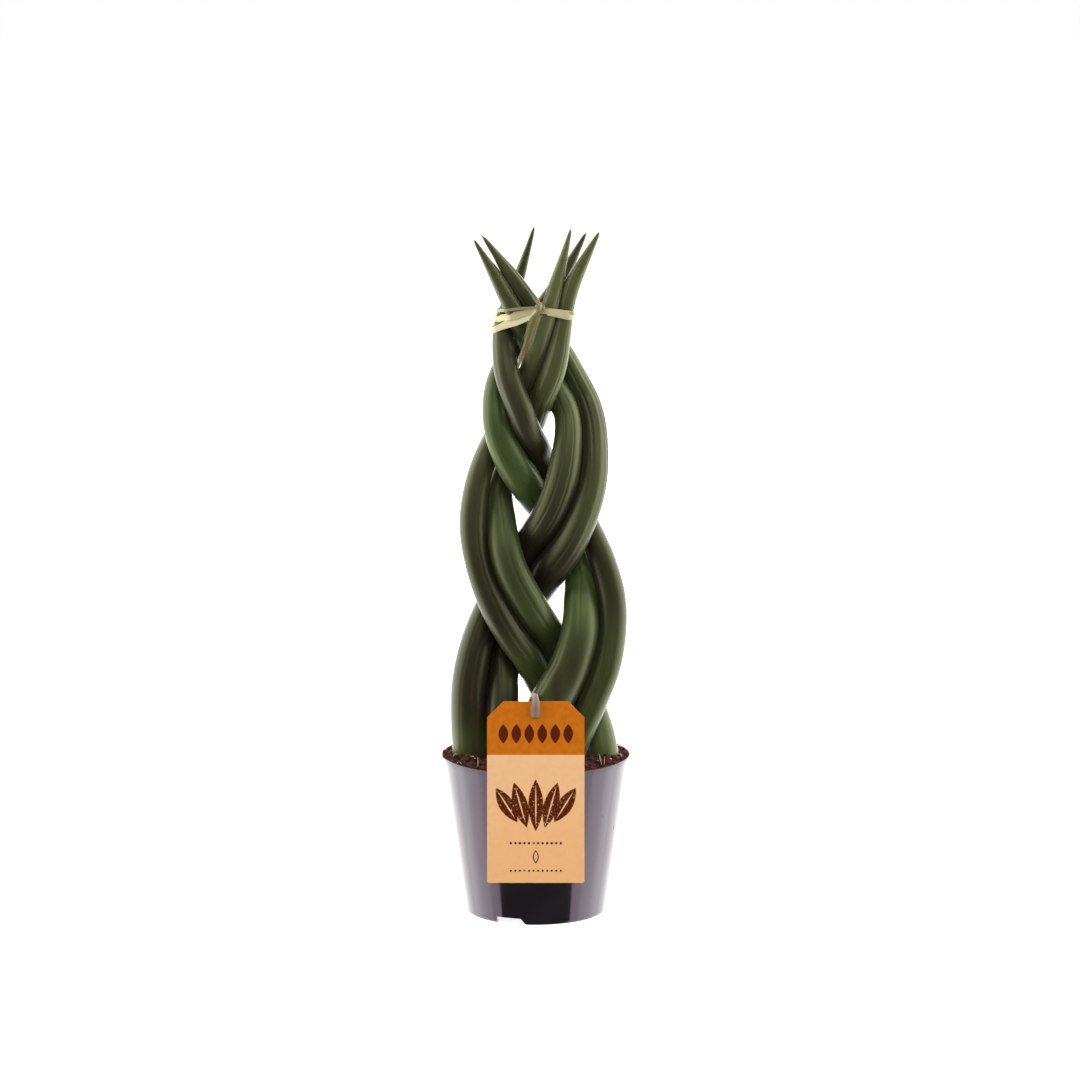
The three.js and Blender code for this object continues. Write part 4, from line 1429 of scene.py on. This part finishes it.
def wrap_path(wrap):
    """The convex outline of the leaves where a wrap lies, let out, from knot to knot."""
    half = min(wrap["widths"][1:-1]) * MM / 2
    near = [p for p in leaf_points if abs(p.z - wrap_height(wrap, p.x, p.y < 0)) < half]
    corners = [near[i] for i in geometry.convex_hull_2d([p.xy for p in near])]
    hull = [Vector((p.x, p.y, 0)) for p in corners]
    middle = sum(hull, Vector()) / len(hull)
    hull = [p + (p - middle).normalized() * wrap["out"] * MM for p in hull]
    start = min(range(len(hull)), key=lambda i: (hull[i] - BEFORE_KNOT).length)
    hull = hull[start:] + hull[: start + 1]
    path = []
    for p, q in zip(hull, hull[1:]):
        steps = max(1, round((q - p).length / WRAP_STEP))
        path += [p.lerp(q, s / steps) for s in range(steps)]
    path.append(hull[-1])
    for _ in range(SMOOTHINGS):
        inner = [(a + b * 2 + c) / 4 for a, b, c in zip(path, path[1:], path[2:])]
        path = [path[0], *inner, path[-1]]
    for p in path:
        p.z = wrap_height(wrap, p.x, p.y < 0)
    return path


print("points on the first wrap's path:", len(wrap_path(WRAPS[0])))


# %% The wraps
def make_wrap(i, wrap):
    widths = [width * MM for width in wrap["widths"]]
    # The wraps' ends, where they run in under the knot, get painted shade.
    return raffia_strip(
        f"wrap_{i}", wrap_path(wrap), widths, UP * -1, seed=wrap["seed"], count=150, Steps=260,
        Age=wrap["age"], Age_Ends=0.45, Thickness=0.28 * MM, Pleat=0.25 * MM,
    )


wraps = [make_wrap(i, wrap) for i, wrap in enumerate(WRAPS)]
print("wraps:", len(wraps))

# %% [markdown]
# ### The knot and its ends
# A real knot is one strip that passes over and under itself. It could be drawn as one long
# path, but at this size nobody can follow it. So a few loops at different slants, each a
# short strip of its own, stand for it. The tail lies over the leaves in front, and its
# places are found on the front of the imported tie.

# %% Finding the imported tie
IN_FRONT = -0.1
# Where the tail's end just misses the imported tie, it is looked for a little to one side.
NUDGE = (0.3 * MM, 0.6 * MM)
TAIL_SUNK = 0.35 * MM
# Each place on the tail: how far right and how high, in millimetres.
TAIL_STATIONS = [(2.5, 383), (-0.5, 377), (-3.3, 369), (-5.4, 362.5), (-7.9, 356), (-11.2, 346)]

tie_shape = merged_copy("raffia_tie")
tie_surface = BVHTree.FromBMesh(tie_shape)
tie_shape.free()


def front_of_tie(x, z):
    """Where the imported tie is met, coming from in front."""
    hit = tie_surface.ray_cast(Vector((x, IN_FRONT, z)), Vector((0, 1, 0)))[0]
    return hit.y if hit else None


def tail_points():
    points = []
    for x, z in TAIL_STATIONS:
        y = front_of_tie(x * MM, z * MM) or front_of_tie(x * MM + NUDGE[0], z * MM + NUDGE[1])
        points.append(Vector((x * MM, y + TAIL_SUNK, z * MM)))
    return points


knot_front = front_of_tie(TIE_KNOT["x"], TIE_KNOT["z"])
knot_middle = Vector((TIE_KNOT["x"], knot_front + TIE_KNOT["radius"], TIE_KNOT["z"]))
print("the knot's front is", round(-knot_front / MM, 1), "mm in front of the pot's axis")

# %% The knot
# Each loop's two half axes, the direction of its width, and its width in millimetres.
KNOT_TURNS = [
    ((0.25, -0.95, 0.3), (0.1, 0.3, 1.1), (1, 0.1, -0.1), 1.5),
    ((-0.3, -0.9, 0.5), (0.45, 0.2, 0.95), (0.9, 0.2, -0.4), 1.2),
    ((0.95, -0.45, 0.1), (0.1, -0.6, -0.75), (0.2, 0.6, 0.8), 1.4),
    ((0.85, 0, -0.6), (-0.3, -0.95, 0.1), (0.5, 0.1, 0.85), 1.1),
    ((0.6, -0.8, -0.1), (0.5, 0.1, 0.9), (0.7, 0.4, -0.5), 1.2),
    ((-0.5, -0.8, -0.3), (-0.2, 0.1, 1.05), (0.8, -0.5, 0.2), 1.0),
]
KNOT_TAPER = (0.8, 1, 1, 0.8)

knot_turns = [
    knot_turn(
        f"knot_turn_{i}", knot_middle, TIE_KNOT["radius"], turn,
        [width * MM * share for share in KNOT_TAPER], seed=20.0 + i,
        count=40, Steps=50, Pleat=0.3 * MM, Age=0.35 + 0.1 * i,
    )
    for i, (*turn, width) in enumerate(KNOT_TURNS)
]
print("loops in the knot:", len(knot_turns))

# %% The tail, the stub and the loose fibres
TAIL_WIDTHS = [w * MM for w in (2.6, 3.6, 6, 6, 5.6, 5, 3.8, 3.2, 3, 2, 0.6)]
STUB_RISE = Vector((-1.2, -0.6, 5.2)) * MM
STUB_WIDTHS = [2.4 * MM, 2.2 * MM, 1.2 * MM]
FRAY_WIDTHS = [0.35 * MM, 0.25 * MM, 0.12 * MM]
# Each fibre's places: how far right, how far behind the knot's front, and how high.
FRAYS = [
    [(-2, 0.9, 377), (-5, 0.4, 371), (-8, 1.2, 365), (-9.4, 2.2, 360)],
    [(3, 1.0, 385.5), (4.6, -0.6, 389), (4.2, -1.0, 392)],
    [(-9, 1.8, 352), (-10.6, 1.2, 347), (-11.8, 1.8, 343.5)],
]

# Shade is painted across the tail, darker on the shaded half of its fold.
tail = raffia_strip(
    "tail", tail_points(), TAIL_WIDTHS, RIGHT, seed=33.0,
    Pleat=0.6 * MM, Fold=-0.8 * MM, Age=0.8, Age_Across=0.35,
)
stub_top = knot_middle + STUB_RISE
stub_points = [knot_middle, knot_middle.lerp(stub_top, 0.6), stub_top]
stub = raffia_strip("stub", stub_points, STUB_WIDTHS, RIGHT, seed=41.0, count=20, Steps=24)
frays = [
    raffia_strip(
        f"fray_{i}", [Vector(p) * MM + Vector((0, knot_front, 0)) for p in points], FRAY_WIDTHS,
        RIGHT, seed=50.0 + i, count=24, Steps=30, Sides=8,
        Pleat=0.05 * MM, Thickness=0.2 * MM, Age=0.6,
    )
    for i, points in enumerate(FRAYS)
]
raffia_tie = joined("raffia_tie_strips", [*wraps, *knot_turns, tail, stub, *frays])
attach(raffia_tie, "root")
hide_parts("raffia_tie")
print("tie faces:", len(raffia_tie.data.polygons))

# %% [markdown]
# ## The tag
# The tag is stiff kraft card with a printed ochre band across the top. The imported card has
# the right shape already, so it only needs a finish. Its print is drawn by arithmetic on the
# card's own two directions: pointed leaf blades of several sizes, and lines of small dots, in
# ink that took badly on the rough card. The ornament says nothing and stands for no maker.

# %% Card sizes and colours
BAND_DEPTH = 33 * MM
FRIEZE = {"down": 20 * MM, "apart": 8 * MM, "half": (6 * MM, 3 * MM), "reach": 24 * MM}
FAN_DOWN = 64 * MM
# For each blade of the fan: how far right, its lean in degrees, and half its height.
FAN = [(0, 0, 16), (-9.5, 16, 14.5), (9.5, -16, 14.5), (-18, 32, 12.5), (18, -32, 12.5)]
FAN_BLADE = {"half_width": 4.6 * MM, "rib": 0.45 * MM, "rib_share": 0.8}
DOT_LINES = [(87.5 * MM, 0.8 * MM), (104.5 * MM, 0.7 * MM)]
DOT_APART = 2.8 * MM
DOT_REACH = 16.8 * MM
BUD = {"down": 96 * MM, "outside": (4.2 * MM, 1.9 * MM), "inside": (3.2 * MM, 1.1 * MM)}
INK = (0.100, 0.014, 0.001, 1)
KRAFT_HIGH = (0.94, 0.555, 0.28, 1)
KRAFT_LOW = (0.94, 0.51, 0.225, 1)
KRAFT_MOTTLE = (0.76, 0.40, 0.17, 1)
KRAFT_FLECK = (0.50, 0.25, 0.10, 1)
OCHRE_DARK = (0.585, 0.148, 0.004, 1)
OCHRE_LIGHT = (0.635, 0.172, 0.007, 1)
CARD_EDGE_DARK = (0.55, 0.36, 0.19, 1)
CARD_EDGE_LIGHT = (0.70, 0.50, 0.29, 1)
CARD_FIBRES = (500, 500, 900)
CARD_FLECKS = (1700, 1700, 900)
INK_GAPS = (900, 900, 900)
CARD_RELIEF = 0.06 * MM
KRAFT_CHANGES = (30 * MM, 112 * MM)
INK_GAPS_FROM = (30 * MM, 40 * MM)
print("card band:", BAND_DEPTH / MM, "mm deep")


# %% Drawing on the card
def blade(x, up, half_height, half_width):
    """1 inside a leaf shape that is pointed at both ends, else 0."""
    bulge = up * up * (half_width / half_height**2)
    return (x.math("ABSOLUTE") + bulge).math("LESS_THAN", half_width)


def turned(x, up, degrees):
    """The two directions of something that leans."""
    sine, cosine = math.sin(math.radians(degrees)), math.cos(math.radians(degrees))
    return x * cosine + up * sine, up * cosine - x * sine


def repeated(x, apart):
    """The same short stretch again and again, with its middle at zero."""
    return ((x / apart).math("FRACT") - 0.5) * apart


def dots(x, up, radius):
    """A line of small dots."""
    step = repeated(x, DOT_APART)
    return (step * step + up * up).math("LESS_THAN", radius**2)


def card_print(x, down):
    """1 where the card is inked, else 0."""
    aside = x.math("ABSOLUTE")
    cell = repeated(x, FRIEZE["apart"])
    frieze = blade(cell, down - FRIEZE["down"], *FRIEZE["half"])
    marks = [frieze * aside.math("LESS_THAN", FRIEZE["reach"])]
    for shift, tilt, half_height in FAN:
        across, up = turned(x - shift * MM, down * -1.0 + FAN_DOWN, tilt)
        leaf = blade(across, up, half_height * MM, FAN_BLADE["half_width"])
        rib = blade(across, up, half_height * FAN_BLADE["rib_share"] * MM, FAN_BLADE["rib"])
        marks.append(leaf - rib)
    for level, radius in DOT_LINES:
        marks.append(dots(x, down - level, radius) * aside.math("LESS_THAN", DOT_REACH))
    under = down - BUD["down"]
    marks.append(blade(x, under, *BUD["outside"]) - blade(x, under, *BUD["inside"]))
    inked = marks[0]
    for mark in marks[1:]:
        inked = inked.math("MAXIMUM", mark)
    return inked


print("blades in the fan:", len(FAN), "and lines of dots:", len(DOT_LINES))


# %% Card finish
def card_material():
    material, tree, surface = new_material("tag_card", Roughness=0.75, Specular_IOR_Level=0.08)
    spot = {"Vector": place_on_object(tree), "Location": TAG_TOP, "Rotation": (-TAG_LEAN, 0, 0)}
    place = wire(tree, "ShaderNodeMapping", spot, vector_type="TEXTURE")
    x, toward, z = parts(place)
    down = z * -1.0
    fibre = noise(place, 1, 3, stretch=CARD_FIBRES)
    flecks = noise(place, 1, 2, stretch=CARD_FLECKS).ramp(0.66, 0.75)
    mottle = noise(place, 260, 3)
    light = mixed(down.ramp(*KRAFT_CHANGES), KRAFT_HIGH, KRAFT_LOW)
    kraft = mixed(mottle.ramp(0.60, 0.35) * 0.12, light, KRAFT_MOTTLE)
    kraft = mixed(flecks * 0.25, kraft, KRAFT_FLECK)
    ochre = mixed(mottle.ramp(0.3, 0.7), OCHRE_DARK, OCHRE_LIGHT)
    paper = mixed(down.math("LESS_THAN", BAND_DEPTH), kraft, ochre)
    gaps = noise(place, 1, 3, stretch=INK_GAPS).ramp(0.62, 0.66) * down.ramp(*INK_GAPS_FROM)
    on_front = toward.math("LESS_THAN", -TAG_THICKNESS / 2)
    inked = card_print(x, down) * (gaps * -0.85 + 1.0) * on_front
    front = mixed(inked, paper, INK)
    edge = mixed(fibre.ramp(0.3, 0.7), CARD_EDGE_DARK, CARD_EDGE_LIGHT)
    relief = bump(fibre + mottle * 0.5, CARD_RELIEF)
    dress(surface, Base_Color=mixed(on_front, edge, front), Normal=relief)
    return material


CARD = card_material()
print("card finish nodes:", len(CARD.node_tree.nodes))

# %% The tag on its strip
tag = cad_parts["tag"]
tag.data.materials.clear()
tag.data.materials.append(CARD)
print("the tag hangs on", tag_strip.name)

# %% [markdown]
# ## The studio
# A gloss pot is a mirror: it shows the room, not itself. Two tall white panels, each of four
# strips of light, stand to its left and right. Between them, where the camera is, the room
# is dim, so the pot gets pale sides and a dark middle, and each leaf a bright edge. Softer
# lights in front, above and behind fill the shadows. The floor glows, as a lit white table
# does, so that it stays white right to the horizon.

# %% Floor and light
FLOOR_SIZE = 60.0
PANEL_X = 0.85
PANEL_HEIGHTS = (-1.3, 1.5)
# For each strip of a panel: where it begins and ends from front to back, and its radiance.
PANEL_PARTS = [(-0.55, -0.25, 3.6), (-0.25, 0.1, 4.6), (0.1, 0.35, 5.1), (0.35, 2.6, 4.3)]
# For each lamp: its place, its width and height, and its radiance.
LAMPS = {
    "back_light": ((0, 3.2, 0.4), (3.0, 3.0), 2.0),
    "front_light": ((0.25, -1.7, 1.9), (1.3, 0.9), 4.0),
    "top_light": ((0, 0.5, 2.3), (1.6, 1.6), 2.5),
}
LAMPS_LOOK_AT = (0, 0, 0.2)
ROOM_GLOW = 0.3
SEEN_GLOW = 1.0


def floor():
    half = FLOOR_SIZE / 2
    corners = [(-half, -half, 0), (half, -half, 0), (half, half, 0), (-half, half, 0)]
    sheet = new_piece("floor", corners, faces=[(0, 1, 2, 3)])
    material, _, _ = new_material(
        "floor", Base_Color=(0.82, 0.82, 0.82, 1), Roughness=0.9,
        Emission_Color=(1, 1, 1, 1), Emission_Strength=0.86,
    )
    sheet.data.materials.append(material)
    sheet.visible_glossy = False
    sheet.visible_diffuse = False


def area_light(name, place, target, size, radiance):
    """A soft rectangular light that looks at a target. Its first size is across, level."""
    data = bpy.data.lights.new(name, "AREA")
    data.shape = "RECTANGLE"
    data.size, data.size_y = size
    data.energy = radiance * math.pi * size[0] * size[1]
    light = bpy.data.objects.new(name, data)
    light.location = place
    light.rotation_euler = (Vector(target) - Vector(place)).to_track_quat("-Z", "Y").to_euler()
    light.visible_camera = False
    bpy.context.collection.objects.link(light)
    return light


def studio():
    floor()
    bottom, top = PANEL_HEIGHTS
    for side in (-1, 1):
        for near, far, radiance in PANEL_PARTS:
            centre = (side * PANEL_X, (near + far) / 2, (bottom + top) / 2)
            inward = (0, centre[1], centre[2])
            area_light("panel", centre, inward, (far - near, top - bottom), radiance)
    for name, (place, size, radiance) in LAMPS.items():
        area_light(name, place, LAMPS_LOOK_AT, size, radiance)
    world = bpy.data.worlds.new("studio")
    world.use_nodes = True
    tree = world.node_tree
    seen = wire(tree, "ShaderNodeLightPath", output=0)
    background = tree.nodes["Background"]
    background.inputs["Color"].default_value = (1, 1, 1, 1)
    glow = seen * (SEEN_GLOW - ROOM_GLOW) + ROOM_GLOW
    tree.links.new(glow.socket, background.inputs["Strength"])
    bpy.context.scene.world = world
    bpy.context.scene.view_settings.view_transform = "Standard"


studio()
print("panels at", PANEL_X, "m on each side")
